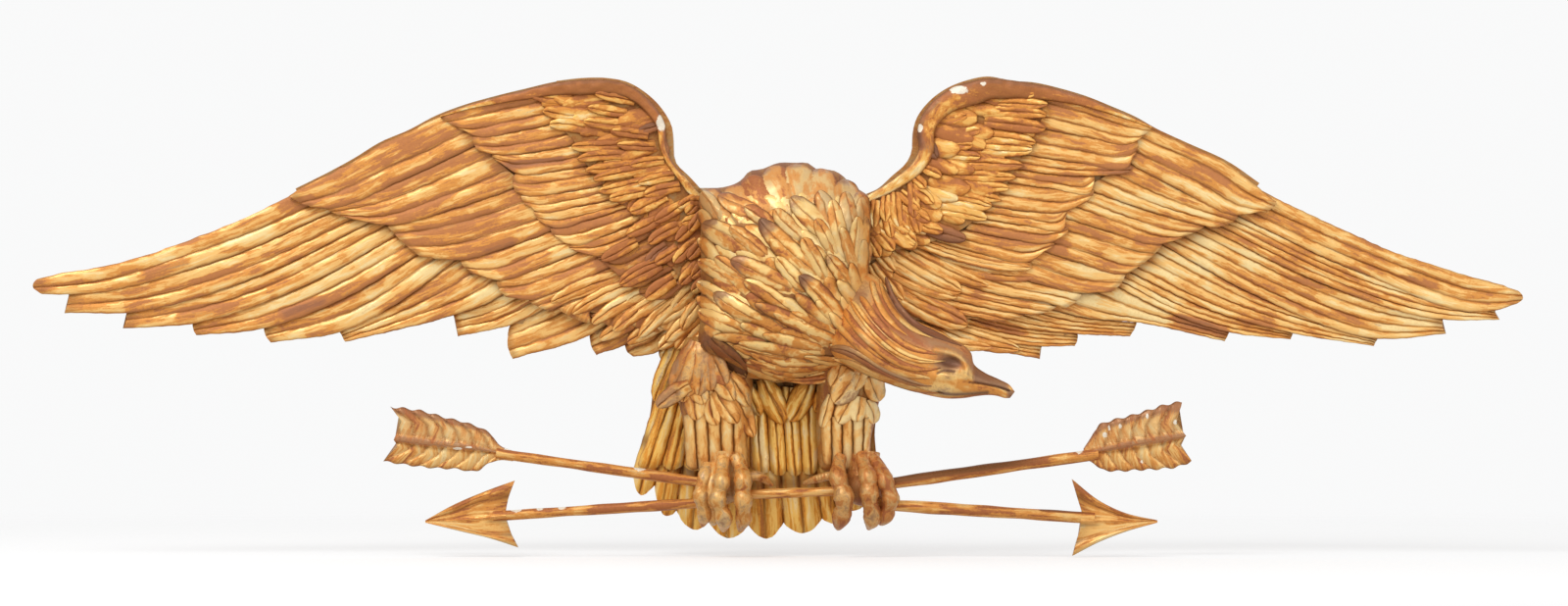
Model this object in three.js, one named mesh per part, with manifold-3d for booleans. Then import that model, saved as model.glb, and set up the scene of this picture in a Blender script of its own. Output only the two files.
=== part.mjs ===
// Giltwood eagle wall plaque: spread wings, head turned down to one side, arrows in both fists.
// Millimetres, +Z up, the carved front towards -Y, the wall at Y = 0.
// The origin lies on the flat back of the body block, behind the breast.
// Outlines are pixels read off a 1600 x 618 photograph, and each is fitted to named sizes.
import * as THREE from 'three'
import { mergeVertices } from 'three/addons/utils/BufferGeometryUtils.js'
import Module from 'manifold-3d'

const wasm = await Module()
wasm.setup()

// Driving dimensions: body block, neck and head
const bodyWidth = 148
const bodyHeight = 190.5
const bodyRimDepth = 52
const bodyCrownDepth = 112
const neckLength = 200
const neckDrop = 124
const neckForward = 119
const neckThickness = 76
const neckDowelRadius = 7
const neckDowelLength = 56

// Driving dimensions: wings, each glued up from three boards. The covert board carries two rows of
// feathers: the covert row rises from covertEdge to covertRootDepth, and the median row steps up on
// it to medianEdge and rises to covertThickness about where the shoulder board begins.
const leftWingSpan = 593
const rightWingSpan = 582
const wingRise = 253
const wingSweepDegrees = 5
const flightThickness = 20
const flightEdge = 7
const flightTip = 9
const covertThickness = 14
const covertEdge = 5
const covertRootDepth = 8.5
const medianEdge = 10.5
const medianStep = 2
const shoulderThickness = 11.5
const shoulderEdge = 4.5
const wingDowelRadius = 5
const wingDowelLength = 80
const wingDowelInset = 12
const wingDowelHeights = [50, -18]

// Driving dimensions: tail board, thighs and feet
const tailWidth = 227
const tailLength = 142.5
const tailThickness = 14
const tailEdge = 8
const kneeDepth = 50
const ankleDepth = 33
const footWidth = 58
const footHeight = 58
const footDepth = 56
const ankleRadius = 17
const ankleDowelRadius = 4
const ankleDowelLength = 34
const ankleDowelInset = 16

// Driving dimensions: arrows
const shaftRadius = 4.75
const gripRadius = 4.4
const shaftGrip = 20
const shaftForward = 32
const tenonRadius = 2.5
const tenonLength = 14
const upperLeftShaftLength = 163
const lowerLeftShaftLength = 163
const upperRightShaftLength = 170
const lowerRightShaftLength = 164
const arrowheadLength = 72
const leftArrowheadWidth = 59
const rightArrowheadWidth = 68.5
const arrowheadThickness = 11
const arrowheadEdge = 3.5
const leftFletchingLength = 115
const leftFletchingWidth = 56
const rightFletchingLength = 96.5
const rightFletchingWidth = 62
const fletchingThickness = 10.5
const fletchingEdge = 4

// Driving dimensions: ironwork on the back
const strapLeg = 60
const strapWidth = 26
const strapThickness = 3
const strapHeight = 16
const hangerReach = 118
const hangerHeight = 105
const plateWidth = 20
const plateLength = 44
const plateThickness = 1.6
const eyeWidth = 12
const eyeWall = 1.4
const ringWireRadius = 1.5
const ringWidth = 32
const ringDrop = 26
const ringCorner = 3
const ringClearance = 1.5

// Screws: radii, depth of the countersunk head and whole length
const strapScrew = { head: 4, shank: 2, headDepth: 2.2, length: 18 }
const tailScrew = { head: 4.5, shank: 2.25, headDepth: 3, length: 40 }
const hangerScrew = { head: 3, shank: 1.5, headDepth: 1.3, length: 13 }

// Clearances and cutting reach
const glueGap = 0.3
const copeGap = 0.45
const boreClearance = 0.3
const rowStep = 0.6
const cutOverrun = 6
const trimReach = 420

// How round things are cut: numbers of sides
const rodSides = 12
const screwSides = 8
const wireSides = 8

// Finishes
const gilt = { color: 0xc8913c, roughness: 0.45, metalness: 0.35 }
const wornGilt = { color: 0xa9702f, roughness: 0.55, metalness: 0.25 }
const bareWood = { color: 0x8a6238, roughness: 0.8, metalness: 0 }
const darkIron = { color: 0x3b3733, roughness: 0.6, metalness: 0.8 }
const ringSteel = { color: 0x9a8f78, roughness: 0.4, metalness: 0.9 }

// Photograph readings of the body block: anchor pixel, pixel size and outline
const bodyPx = {
  anchor: [800, 290],
  size: [170, 219],
  crown: [792, 286],
  valley: [790, 386],
  leftHip: [716, 351],
  rightHip: [885, 359],
  outline: [
    [715, 192], [737, 191], [756, 184], [777, 173], [800, 166], [827, 167], [851, 174], [866, 186],
    [885, 199], [885, 230], [885, 262], [885, 295], [885, 328], [885, 364], [860, 371], [825, 381],
    [790, 392], [765, 380], [740, 368], [715, 356], [715, 320], [715, 290], [715, 260], [715, 225],
  ],
}

// Cross sections of the neck, head and beak: nape pixel, throat pixel, then shares of
// neckForward and neckThickness for how far forward the middle lies and how thick it is
const neckPx = { anchor: [855, 303], size: [230, 142] }
const neckSections = [
  { nape: [893, 258], throat: [812, 342], forwardShare: 0.5, thicknessShare: 1 },
  { nape: [904, 291], throat: [836, 362], forwardShare: 0.63, thicknessShare: 1 },
  { nape: [915, 311], throat: [868, 374], forwardShare: 0.75, thicknessShare: 0.9 },
  { nape: [930, 328], throat: [893, 384], forwardShare: 0.84, thicknessShare: 0.78 },
  { nape: [947, 337], throat: [921, 394], forwardShare: 0.9, thicknessShare: 0.67 },
  { nape: [964, 343], throat: [945, 401], forwardShare: 0.95, thicknessShare: 0.58 },
  { nape: [978, 350], throat: [966, 404], forwardShare: 0.98, thicknessShare: 0.5 },
  { nape: [988, 359], throat: [983, 404], forwardShare: 1, thicknessShare: 0.41 },
  { nape: [993, 371], throat: [997, 402], forwardShare: 1, thicknessShare: 0.29 },
  { nape: [1003, 377], throat: [1006, 401], forwardShare: 1, thicknessShare: 0.22 },
  { nape: [1019, 385], throat: [1016, 402], forwardShare: 1, thicknessShare: 0.15 },
  { nape: [1028, 391], throat: [1023, 404], forwardShare: 1, thicknessShare: 0.1 },
  { nape: [1032, 397], throat: [1027, 403], forwardShare: 1, thicknessShare: 0.06 },
]
const neckDowelPx = { seat: [862, 316], aim: [892, 337] }

// The left wing from its joint: anchor pixel, pixel size and chains. Each chain runs outwards and
// gives one height at each place.
const leftWingPx = {
  anchor: [715, 290],
  size: [679.3, 291],
  topEdge: [
    [715, 196], [700, 179], [684, 162], [679.5, 139], [679, 129], [670, 111], [656, 96], [638, 85.5],
    [620, 82], [595, 82], [569, 85], [539, 92], [503, 101], [477, 108.5], [447, 120], [421, 134],
    [391, 147], [367, 162], [337, 178.5], [306, 194], [291, 203], [255, 221], [219, 236], [179, 251],
    [143, 263], [102, 273], [59, 279], [38, 285], [35.7, 287],
  ],
  featherTips: [
    [715, 340], [700, 352], [682, 372], [675, 370], [671, 358.5], [650, 364], [642, 361], [637, 352],
    [623, 360], [605, 361.5], [601, 342], [580, 351], [554, 361], [535, 367], [518, 362],
    [517, 332], [493, 339], [467, 343], [463, 321.5], [434, 330], [401, 340.5], [388, 344],
    [357, 348], [349, 347], [347, 338.5], [314, 344], [283, 350], [274, 346], [270, 335], [235, 339],
    [207, 343], [200, 339], [198, 330], [163, 332], [128, 335], [127, 319], [96, 320], [69, 319],
    [68, 300.5], [48, 300], [41, 296], [35.7, 293],
  ],
  flightRoots: [
    [715, 322], [640, 320], [564, 313], [516, 298], [472, 265], [416, 243], [357, 222], [293, 205],
    [219, 241], [143, 268], [59, 285], [35.7, 290],
  ],
  covertTips: [
    [715, 328], [690, 331], [640, 327], [600, 321], [564, 315], [539, 307], [516, 302], [508, 287],
    [483, 279], [472, 267], [447, 268], [429, 261.5], [416, 244], [396, 231], [357, 223], [331, 213],
    [296, 207],
  ],
  covertRoots: [
    [715, 290], [654, 288], [633, 280], [615, 256], [572, 236], [544, 206], [508, 162], [478, 134],
    [447, 125], [391, 152], [296, 204.5],
  ],
  shoulderTips: [
    [715, 246], [690, 240], [654, 226], [638, 215.5], [618, 198], [608, 182], [595, 170], [585, 149],
    [569, 134], [554, 108.5], [539, 97],
  ],
}

// The right wing, read the same way
const rightWingPx = {
  anchor: [885, 290],
  size: [666.5, 291],
  topEdge: [
    [885, 200], [898, 194], [914, 180], [931, 164.5], [937, 154], [937.5, 134], [939, 121], [952, 103],
    [967, 92], [988, 84], [1008, 80.5], [1024, 80], [1026, 84.5], [1054, 86], [1080, 92], [1105, 99.5],
    [1131, 110], [1156, 121], [1175, 130], [1176.5, 134], [1207, 147], [1250, 167], [1302, 202],
    [1343, 222.5], [1379, 239], [1417, 256], [1455, 268.5], [1493, 281], [1532, 291.5], [1547, 297],
    [1551.5, 300],
  ],
  featherTips: [
    [885, 340], [915, 349], [950, 352], [988, 354.5], [1034, 358.5], [1063, 366], [1064, 353.5],
    [1097, 352.5], [1100, 341], [1125, 342], [1155, 342], [1160, 329], [1207, 340.5], [1238, 347.5],
    [1251, 347.5], [1255, 339], [1284, 342.5], [1316, 345], [1318.5, 340], [1343, 345], [1376, 351.5],
    [1396, 353], [1404, 351.5], [1408, 342.5], [1435, 346], [1470, 341], [1476, 339], [1477, 328],
    [1498, 325], [1525, 328], [1528, 325], [1529, 315], [1547, 309.5], [1551.5, 306],
  ],
  flightRoots: [
    [885, 322], [950, 325], [1050, 317], [1084, 303], [1138, 294], [1174, 260], [1232, 232],
    [1302, 206], [1379, 245], [1455, 275], [1532, 298], [1551.5, 303],
  ],
  covertTips: [
    [885, 328], [950, 335], [1000, 331], [1050, 324], [1079, 315], [1085, 305], [1138, 300],
    [1143, 289.5], [1174, 261.5], [1194, 243.5], [1232, 233.5], [1248, 229], [1299, 206],
  ],
  covertRoots: [
    [885, 292], [950, 296], [1020, 288], [1049, 270], [1072, 247], [1087, 216], [1115, 190],
    [1154, 168], [1163, 142], [1180, 140], [1250, 171], [1299, 203.5],
  ],
  shoulderTips: [
    [885, 250], [950, 244], [998, 231], [1016, 210.5], [1028, 195], [1044, 170], [1054, 147],
    [1066, 131], [1069, 106],
  ],
}

// Tail board and legs, read from the valley under the breast
const lowerPx = {
  size: [261, 164],
  tailCentre: [785, 450],
  tailTop: [
    [900, 347], [885, 350], [860, 358], [825, 367], [790, 377], [765, 366], [740, 354], [716, 343],
    [698, 344], [680, 362],
  ],
  tailRim: [
    [666, 389], [664, 415], [657, 449], [648, 474], [644, 489], [650, 505], [666, 497], [671, 522],
    [678, 527], [695, 523], [699, 536], [711, 541], [723, 534], [732, 545], [745, 549.5], [755, 545],
    [763, 536], [774, 545], [782, 549.5], [792, 543], [800, 534], [811, 542.5], [821, 545.5],
    [832, 539], [840, 529], [858, 526], [876, 519], [890, 505], [896, 480], [895, 440], [900, 400],
  ],
  ankleLevel: 480,
  kneeLevel: 356,
  leftThighCentre: [730, 410],
  rightThighCentre: [866, 410],
  leftThigh: [
    [700, 342], [745, 342], [764, 360], [768, 392], [764, 425], [760, 455], [764, 480], [712, 480],
    [702, 455], [696, 425], [693, 395], [694, 366],
  ],
  rightThigh: [
    [836, 352], [900, 345], [902, 390], [898, 409], [893, 432], [888, 455], [888, 480], [838, 480],
    [834, 455], [833, 420], [834, 385],
  ],
  leftFoot: [738, 505],
  rightFoot: [881, 507],
  tailScrews: [[730, 398], [733, 440], [866, 398], [862, 440]],
}
const leftToeShares = [-0.31, -0.02, 0.29]
const rightToeShares = [-0.32, 0.01, 0.32]
const toePath = [
  { heightShare: 0.36, depthShare: 0.5, radiusShare: 0.13 },
  { heightShare: 0.24, depthShare: 0.8, radiusShare: 0.155 },
  { heightShare: 0.02, depthShare: 0.86, radiusShare: 0.13 },
  { heightShare: -0.16, depthShare: 0.85, radiusShare: 0.15 },
  { heightShare: -0.36, depthShare: 0.72, radiusShare: 0.11 },
  { heightShare: -0.52, depthShare: 0.5, radiusShare: 0.05 },
]
const palmShares = { width: 0.46, depth: 0.4, height: 0.36 }

// Where the shafts enter the fists, as shares of the foot, and how steeply they run outwards
const upperEntryShares = [0.44, 0.22]
const lowerEntryShares = [0.46, -0.12]
const leftGripShares = [0.3, 0.015]
const rightGripShares = [0.3, 0.1]
const upperShaftDegrees = 8.7
const lowerShaftDegrees = -4

// Arrowheads and fletchings: anchor pixel at the end of the shaft, then chains along the piece
const leftArrowheadPx = {
  anchor: [518.5, 525.5],
  size: [83, 68],
  chains: [
    [[435, 529], [462, 515], [497, 500], [526, 489.5]],
    [[435, 529.7], [464, 520], [490, 511], [521, 504]],
    [[435, 530.4], [465, 525], [490, 520], [516.5, 518]],
    [[435, 531.1], [465, 530], [490, 528], [517, 525.5]],
    [[435, 531.8], [465, 533], [490, 534], [517, 533]],
    [[435, 532.5], [466, 537], [490, 542], [523, 545]],
    [[435, 533.2], [468, 540], [503, 549], [529.5, 557.5]],
  ],
}
const rightArrowheadPx = {
  anchor: [1100, 529],
  size: [83, 79],
  chains: [
    [[1180, 529], [1144, 523], [1121, 511], [1093, 488]],
    [[1180, 529.7], [1146, 526], [1121, 517], [1098, 505]],
    [[1180, 530.4], [1148, 529], [1122, 524], [1103, 521]],
    [[1180, 531.1], [1149, 531.5], [1122, 530.5], [1101.5, 530]],
    [[1180, 531.8], [1149, 534], [1122, 538], [1101.5, 539]],
    [[1180, 532.5], [1149, 537], [1122, 544], [1097, 553]],
    [[1180, 533.2], [1151, 540.5], [1123, 551], [1093.5, 566]],
  ],
}
const arrowheadRowShares = [0, 0.4, 0.85, 1, 0.85, 0.4, 0]
const arrowheadStationShares = [0, 0.7, 1, 1]
const leftFletchingPx = {
  anchor: [524, 461],
  size: [132, 64],
  chains: [
    [[399, 414.5], [432, 419], [455, 426], [477, 431], [495, 437], [511, 453], [524, 455.6]],
    [[406, 430], [433, 432], [455, 437], [477, 441], [495, 446], [511, 456.5], [524, 458]],
    [[403, 448], [433, 451.5], [455, 453], [477, 455.5], [495, 458], [511, 460], [524, 461]],
    [[404, 460], [430, 463], [453, 465], [477, 467], [496, 466], [511, 463], [524, 464]],
    [[392, 470], [426, 475], [446, 477.5], [468, 479], [487, 479.5], [509, 467], [524, 466.4]],
  ],
}
const fletchingRowShares = [0, 0.5, 1, 0.5, 0]
const fletchingStationShares = [0.3, 0.5, 0.65, 0.8, 0.9, 1, 1]
const rightFletchingPx = {
  anchor: [1105, 462],
  size: [111, 71],
  chains: [
    [[1205, 409.5], [1174, 417.5], [1151, 424], [1135, 428], [1123, 432.5], [1116, 440], [1105, 456.6]],
    [[1200, 428], [1174, 433], [1151, 438], [1135, 442], [1123, 446], [1116, 450], [1105, 459.5]],
    [[1200, 446], [1174, 449], [1151, 453], [1135, 456], [1123, 458.5], [1116, 460], [1105, 462]],
    [[1208, 461], [1180, 464], [1156, 466], [1140, 468], [1126, 468], [1117, 466], [1105, 464.5]],
    [[1215, 470.5], [1190, 477], [1156, 479], [1142, 480.5], [1126, 478], [1113, 470], [1105, 467.4]],
  ],
}

// Fits photograph pixels to sizes: anchorPx lands on anchor, sizePx pixels become size
const photoFit = (anchorPx, anchor, sizePx, size) => ([x, y]) => [
  anchor[0] + (x - anchorPx[0]) * size[0] / sizePx[0],
  anchor[1] - (y - anchorPx[1]) * size[1] / sizePx[1],
]

const vector = (x, y, z) => new THREE.Vector3(x, y, z)
const upAxis = vector(0, 0, 1)
const middle = (a, b) => [(a[0] + b[0]) / 2, (a[1] + b[1]) / 2]

// Height of a chain of [u, z] points at u
const heightAt = (chain, u) => {
  const next = chain.findIndex((point) => point[0] >= u)
  if (next === 0) return chain[0][1]
  if (next < 0) return chain[chain.length - 1][1]
  const [before, after] = [chain[next - 1], chain[next]]
  return before[1] + (after[1] - before[1]) * (u - before[0]) / (after[0] - before[0])
}

// A closed geometry from points and triangles, turned so that its faces look outwards
const closedGeometry = (points, triangles) => {
  const kept = triangles.filter(([a, b, c]) => a !== b && b !== c && c !== a)
  const sixfoldVolume = kept.reduce(
    (sum, [a, b, c]) => sum + points[a].dot(points[b].clone().cross(points[c])), 0)
  const faces = sixfoldVolume < 0 ? kept.map(([a, b, c]) => [a, c, b]) : kept
  const geometry = new THREE.BufferGeometry()
  geometry.setAttribute('position', new THREE.Float32BufferAttribute(points.flatMap((p) => p.toArray()), 3))
  geometry.setIndex(faces.flat())
  return geometry
}

// Manifold solid from a closed geometry, and back
const solidOf = (geometry) => {
  const bare = geometry.clone()
  bare.deleteAttribute('normal')
  bare.deleteAttribute('uv')
  const welded = mergeVertices(bare)
  const corners = Array.from(welded.index.array)
  const triVerts = []
  for (let i = 0; i < corners.length; i += 3) {
    const [a, b, c] = corners.slice(i, i + 3)
    if (a !== b && b !== c && c !== a) triVerts.push(a, b, c)
  }
  return new wasm.Manifold(new wasm.Mesh({
    numProp: 3,
    vertProperties: new Float32Array(welded.attributes.position.array),
    triVerts: new Uint32Array(triVerts),
  }))
}
const geometryOf = (solid) => {
  const { numProp, vertProperties, triVerts } = solid.getMesh()
  const geometry = new THREE.BufferGeometry()
  const positions = []
  for (let i = 0; i < vertProperties.length; i += numProp) positions.push(...vertProperties.slice(i, i + 3))
  geometry.setAttribute('position', new THREE.Float32BufferAttribute(positions, 3))
  geometry.setIndex(Array.from(triVerts))
  return geometry
}
const cut = (geometry, cutters) =>
  geometryOf(cutters.reduce((solid, cutter) => solid.subtract(solidOf(cutter)), solidOf(geometry)))
const join = ([first, ...others]) =>
  geometryOf(others.reduce((solid, other) => solid.add(solidOf(other)), solidOf(first)))

// The same solid with nearly flat neighbouring faces merged
const merged = (geometry) => geometryOf(solidOf(geometry).simplify(rowStep / 2))

// A block whose near face passes through point, with its bulk along normal
const blockBeyond = (point, normal) => {
  const block = new THREE.BoxGeometry(trimReach, trimReach, trimReach)
  block.translate(0, 0, trimReach / 2)
  block.applyQuaternion(new THREE.Quaternion().setFromUnitVectors(upAxis, normal))
  return block.translate(...point.toArray())
}

// A round rod from start to end
const rodBetween = (start, end, radius, sides = rodSides) => {
  const along = end.clone().sub(start)
  const rod = new THREE.CylinderGeometry(radius, radius, along.length(), sides)
  rod.rotateX(Math.PI / 2)
  rod.translate(0, 0, along.length() / 2)
  rod.applyQuaternion(new THREE.Quaternion().setFromUnitVectors(upAxis, along.clone().normalize()))
  return rod.translate(...start.toArray())
}

// Sections joined in order: each has a centre and two half-axes, and the ends are closed
const sweptSolid = (sections, sides) => {
  const points = []
  for (const { centre, first, second } of sections) {
    for (let i = 0; i < sides; i++) {
      const turn = (2 * Math.PI * i) / sides
      points.push(centre.clone()
        .addScaledVector(first, Math.cos(turn)).addScaledVector(second, Math.sin(turn)))
    }
  }
  const triangles = []
  const last = (sections.length - 1) * sides
  for (let k = 0; k < last; k += sides) {
    for (let i = 0; i < sides; i++) {
      const [a, b] = [k + i, k + (i + 1) % sides]
      triangles.push([a, b, b + sides], [a, b + sides, a + sides])
    }
  }
  points.push(sections[0].centre.clone(), sections[sections.length - 1].centre.clone())
  for (let i = 0; i < sides; i++) {
    const following = (i + 1) % sides
    triangles.push([following, i, points.length - 2], [last + i, last + following, points.length - 1])
  }
  return closedGeometry(points, triangles)
}

// Rings of a dome: how far out each lies, as a share of the outline, and how deep it is
const domeShares = [1, 0.9, 0.72, 0.5, 0.25, 0]
const domeRings = (rim, crown) => domeShares.map((ringShare) => ({
  ringShare,
  depth: rim + (crown - rim) * Math.sqrt(1 - ringShare ** 2),
}))

// A block with a flat back, straight walls up to its rim and a front of rings, the last at the centre.
// depthShareAt scales the depth with height.
const ringedBlock = ({ outline, centre, back, rings, depthShareAt = () => 1 }) => {
  const count = outline.length
  const points = outline.map(([x, z]) => vector(x, -back, z))
  for (const { ringShare, depth } of rings.slice(0, -1)) {
    for (const [x, z] of outline) {
      const height = centre[1] + (z - centre[1]) * ringShare
      const front = back + depth * depthShareAt(height)
      points.push(vector(centre[0] + (x - centre[0]) * ringShare, -front, height))
    }
  }
  const triangles = []
  const topRing = (rings.length - 1) * count
  for (let k = 0; k < topRing; k += count) {
    for (let i = 0; i < count; i++) {
      const [a, b] = [k + i, k + (i + 1) % count]
      triangles.push([a, b, b + count], [a, b + count, a + count])
    }
  }
  points.push(vector(centre[0], -back, centre[1]))
  points.push(vector(centre[0], -back - rings.at(-1).depth * depthShareAt(centre[1]), centre[1]))
  for (let i = 0; i < count; i++) {
    const following = (i + 1) % count
    triangles.push([following, i, points.length - 2], [topRing + i, topRing + following, points.length - 1])
  }
  return closedGeometry(points, triangles)
}

// A board between a lower and an upper chain of [u, z] points. rows run from the lower edge to the
// upper one, each a chain with its front depth. place(u, depth, z) gives the point in space.
const stackedBoard = ({ rows, back, start, end, taper, place }) => {
  const inside = rows.flatMap((row) => row.chain.map((point) => point[0]))
    .filter((u) => u > start && u < end)
  const ordered = [start, ...inside, end].sort((a, b) => a - b)
  const stations = ordered.filter((u, i) => i === 0 || u - ordered[i - 1] > rowStep / 2 || u === end)
    .filter((u, i, all) => u === end || all[i + 1] - u > rowStep / 2)
  const [bottomRow, topRow] = [rows[0], rows[rows.length - 1]]
  const points = []
  for (const u of stations) {
    const heights = rows.map((row) => heightAt(row.chain, u))
    const top = heights[rows.length - 1]
    for (let j = 1; j < rows.length - 1; j++) {
      const highest = top - rowStep * (rows.length - 1 - j)
      heights[j] = Math.min(Math.max(heights[j], heights[j - 1] + rowStep), highest)
    }
    rows.forEach((row, j) => points.push(place(u, back + row.depth * taper(u), heights[j])))
    points.push(place(u, back, heightAt(topRow.chain, u)), place(u, back, heightAt(bottomRow.chain, u)))
  }
  const width = rows.length + 2
  const triangles = []
  for (let k = 0; k < stations.length - 1; k++) {
    for (let j = 0; j < width; j++) {
      const [a, b] = [k * width + j, k * width + (j + 1) % width]
      triangles.push([a, b, b + width], [a, b + width, a + width])
    }
  }
  const last = (stations.length - 1) * width
  for (let j = 1; j < width - 1; j++) {
    triangles.push([0, j + 1, j], [last, last + j, last + j + 1])
  }
  return closedGeometry(points, triangles)
}

// A plate with a raised middle on both faces, between chains that run along it
const ridgedPlate = (chains, thicknessAt, forward) => {
  const [rows, stations] = [chains.length, chains[0].length]
  const points = []
  for (let k = 0; k < stations; k++) {
    const onFace = (j, face) =>
      vector(chains[j][k][0], -forward + face * thicknessAt(j, k) / 2, chains[j][k][1])
    for (let j = 0; j < rows; j++) points.push(onFace(j, -1))
    for (let j = rows - 1; j >= 0; j--) points.push(onFace(j, 1))
  }
  const width = 2 * rows
  const triangles = []
  for (let k = 0; k < stations - 1; k++) {
    for (let j = 0; j < width; j++) {
      const [a, b] = [k * width + j, k * width + (j + 1) % width]
      triangles.push([a, b, b + width], [a, b + width, a + width])
    }
  }
  const last = (stations - 1) * width
  for (let j = 0; j < rows - 1; j++) {
    const opposite = width - 1 - j
    triangles.push([j, opposite, opposite - 1], [j, opposite - 1, j + 1])
    triangles.push([last + j, last + opposite - 1, last + opposite])
    triangles.push([last + j, last + j + 1, last + opposite - 1])
  }
  return closedGeometry(points, triangles)
}

// A countersunk screw driven towards -Y, its head flush with Y = 0. grow makes the hole for it.
const screwShape = (screw, grow = 0) => {
  const overrun = grow > 0 ? cutOverrun : 0
  const profile = [
    [0, -screw.length - grow],
    [screw.shank + grow, screw.shank - screw.length - grow],
    [screw.shank + grow, -screw.headDepth],
    [screw.head + grow, 0],
    ...(grow > 0 ? [[screw.head + grow, overrun]] : []),
    [0, overrun],
  ]
  return new THREE.LatheGeometry(profile.map(([r, y]) => new THREE.Vector2(r, y)), screwSides)
}

const plaque = new THREE.Group()
const addMesh = (name, geometry, finish, parent = plaque) => {
  const mesh = new THREE.Mesh(geometry, new THREE.MeshStandardMaterial(finish))
  mesh.name = name
  parent.add(mesh)
  return mesh
}
const addScrews = (name, screw, places, parent = plaque) => places.forEach((place, index) => {
  addMesh(`${name}_${index + 1}`, screwShape(screw), darkIron, parent).applyMatrix4(place)
})

// Body block: domed breast with flat side faces for the wings and two mitred faces for the legs
const onBody = photoFit(bodyPx.anchor, [0, 0], bodyPx.size, [bodyWidth, bodyHeight])
const valley = onBody(bodyPx.valley)
const hipNormal = (hip) => {
  const [x, z] = onBody(hip)
  const along = vector(x - valley[0], 0, z - valley[1]).normalize()
  const normal = vector(-along.z, 0, along.x)
  return normal.z > 0 ? normal.negate() : normal
}
const valleyPoint = vector(valley[0], 0, valley[1])
const hips = [bodyPx.leftHip, bodyPx.rightHip].map(hipNormal)
const belowBody = hips.map((normal) => blockBeyond(valleyPoint, normal))
const aboveLegs = hips.map((normal) =>
  blockBeyond(valleyPoint.clone().addScaledVector(normal, glueGap), normal.clone().negate()))
const bodyDome = (grow) => ringedBlock({
  outline: bodyPx.outline.map(onBody).map(([x, z]) => [x + Math.sign(x) * grow, z + Math.sign(z) * grow]),
  centre: onBody(bodyPx.crown),
  back: 0,
  rings: domeRings(bodyRimDepth + grow, bodyCrownDepth + grow),
})

// Wing frames: each wing turns forward about the edge where its joint meets the wall plane
const sweep = THREE.MathUtils.degToRad(wingSweepDegrees)
const wingGroups = [-1, 1].map((side) => {
  const group = new THREE.Group()
  group.position.set(side * bodyWidth / 2, 0, 0)
  group.rotation.z = -side * sweep
  group.updateMatrix()
  plaque.add(group)
  return group
})
const intoWing = (geometry, group) => geometry.clone().applyMatrix4(group.matrix.clone().invert())

// Wing dowels lie across the joints
const dowelCentres = [-1, 1].flatMap((side) => wingDowelHeights.map((height) =>
  vector(side * bodyWidth / 2, -wingDowelInset, height)))
const acrossJoint = (centre, radius, length) => rodBetween(
  centre.clone().add(vector(-length / 2, 0, 0)), centre.clone().add(vector(length / 2, 0, 0)), radius)
const wingDowelBores = dowelCentres.map((centre) =>
  acrossJoint(centre, wingDowelRadius + boreClearance, wingDowelLength + 2 * boreClearance))

// Straps: one iron bent to the sweep across each wing joint, let in flush with the back
const strapShape = (side, grow) => {
  const [leg, thickness] = [strapLeg + grow, strapThickness + grow]
  const outside = grow > 0 ? cutOverrun : 0
  const kneeShift = Math.tan(sweep / 2)
  const along = [Math.cos(sweep), -Math.sin(sweep)]
  const back = [Math.sin(sweep), Math.cos(sweep)]
  const wingPoint = (reach, rise) => [along[0] * reach + back[0] * rise, along[1] * reach + back[1] * rise]
  const corners = [
    [-leg, -thickness], [-kneeShift * thickness, -thickness], wingPoint(leg, -thickness),
    wingPoint(leg, outside), [kneeShift * outside, outside], [-leg, outside],
  ]
  const profile = new THREE.Shape(corners.map(([x, y]) => new THREE.Vector2(side * (bodyWidth / 2 + x), y)))
  const height = strapWidth + 2 * grow
  const strap = new THREE.ExtrudeGeometry(profile, { depth: height, bevelEnabled: false })
  return strap.translate(0, 0, strapHeight - height / 2)
}
const strapScrewShares = [0.35, 0.8]
const strapScrewReaches = strapScrewShares.map((share) => share * strapLeg)
const atStrapHeight = (x) => new THREE.Matrix4().makeTranslation(x, 0, strapHeight)
const strapScrewPlaces = [-1, 1].map((side, index) => [
  ...strapScrewReaches.map((reach) => atStrapHeight(side * (bodyWidth / 2 - reach))),
  ...strapScrewReaches.map((reach) =>
    wingGroups[index].matrix.clone().multiply(atStrapHeight(side * reach))),
])
const screwsAt = (places, screw, grow = 0) =>
  places.map((place) => screwShape(screw, grow).applyMatrix4(place))
const strapPockets = [-1, 1].map((side) => strapShape(side, glueGap))
const strapScrewHoles = strapScrewPlaces.map((places) => screwsAt(places, strapScrew, boreClearance))

// Neck and head in one carved piece, coped to the breast
const onNeck = photoFit(
  neckPx.anchor, onBody(neckPx.anchor), neckPx.size, [neckLength, neckDrop])
const neckSection = ({ nape, throat, forwardShare, thicknessShare }) => {
  const [high, low] = [onNeck(nape), onNeck(throat)]
  const [x, z] = middle(high, low)
  return {
    centre: vector(x, -forwardShare * neckForward, z),
    first: vector((high[0] - low[0]) / 2, 0, (high[1] - low[1]) / 2),
    second: vector(0, thicknessShare * neckThickness / 2, 0),
  }
}
const neckSides = 16
const neck = sweptSolid(neckSections.map(neckSection), neckSides)
const dowelSeat = onNeck(neckDowelPx.seat)
const dowelAim = onNeck(neckDowelPx.aim)
const neckDowelForwardShares = [0.62, 0.76]
const neckDowelMiddle = vector(dowelSeat[0], -neckDowelForwardShares[0] * neckForward, dowelSeat[1])
const neckDowelAxis = vector(dowelAim[0], -neckDowelForwardShares[1] * neckForward, dowelAim[1])
  .sub(neckDowelMiddle).normalize()
const neckDowelShape = (grow) => rodBetween(
  neckDowelMiddle.clone().addScaledVector(neckDowelAxis, -neckDowelLength / 2 - grow),
  neckDowelMiddle.clone().addScaledVector(neckDowelAxis, neckDowelLength / 2 + grow),
  neckDowelRadius + grow)
const neckBore = neckDowelShape(boreClearance)

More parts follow.
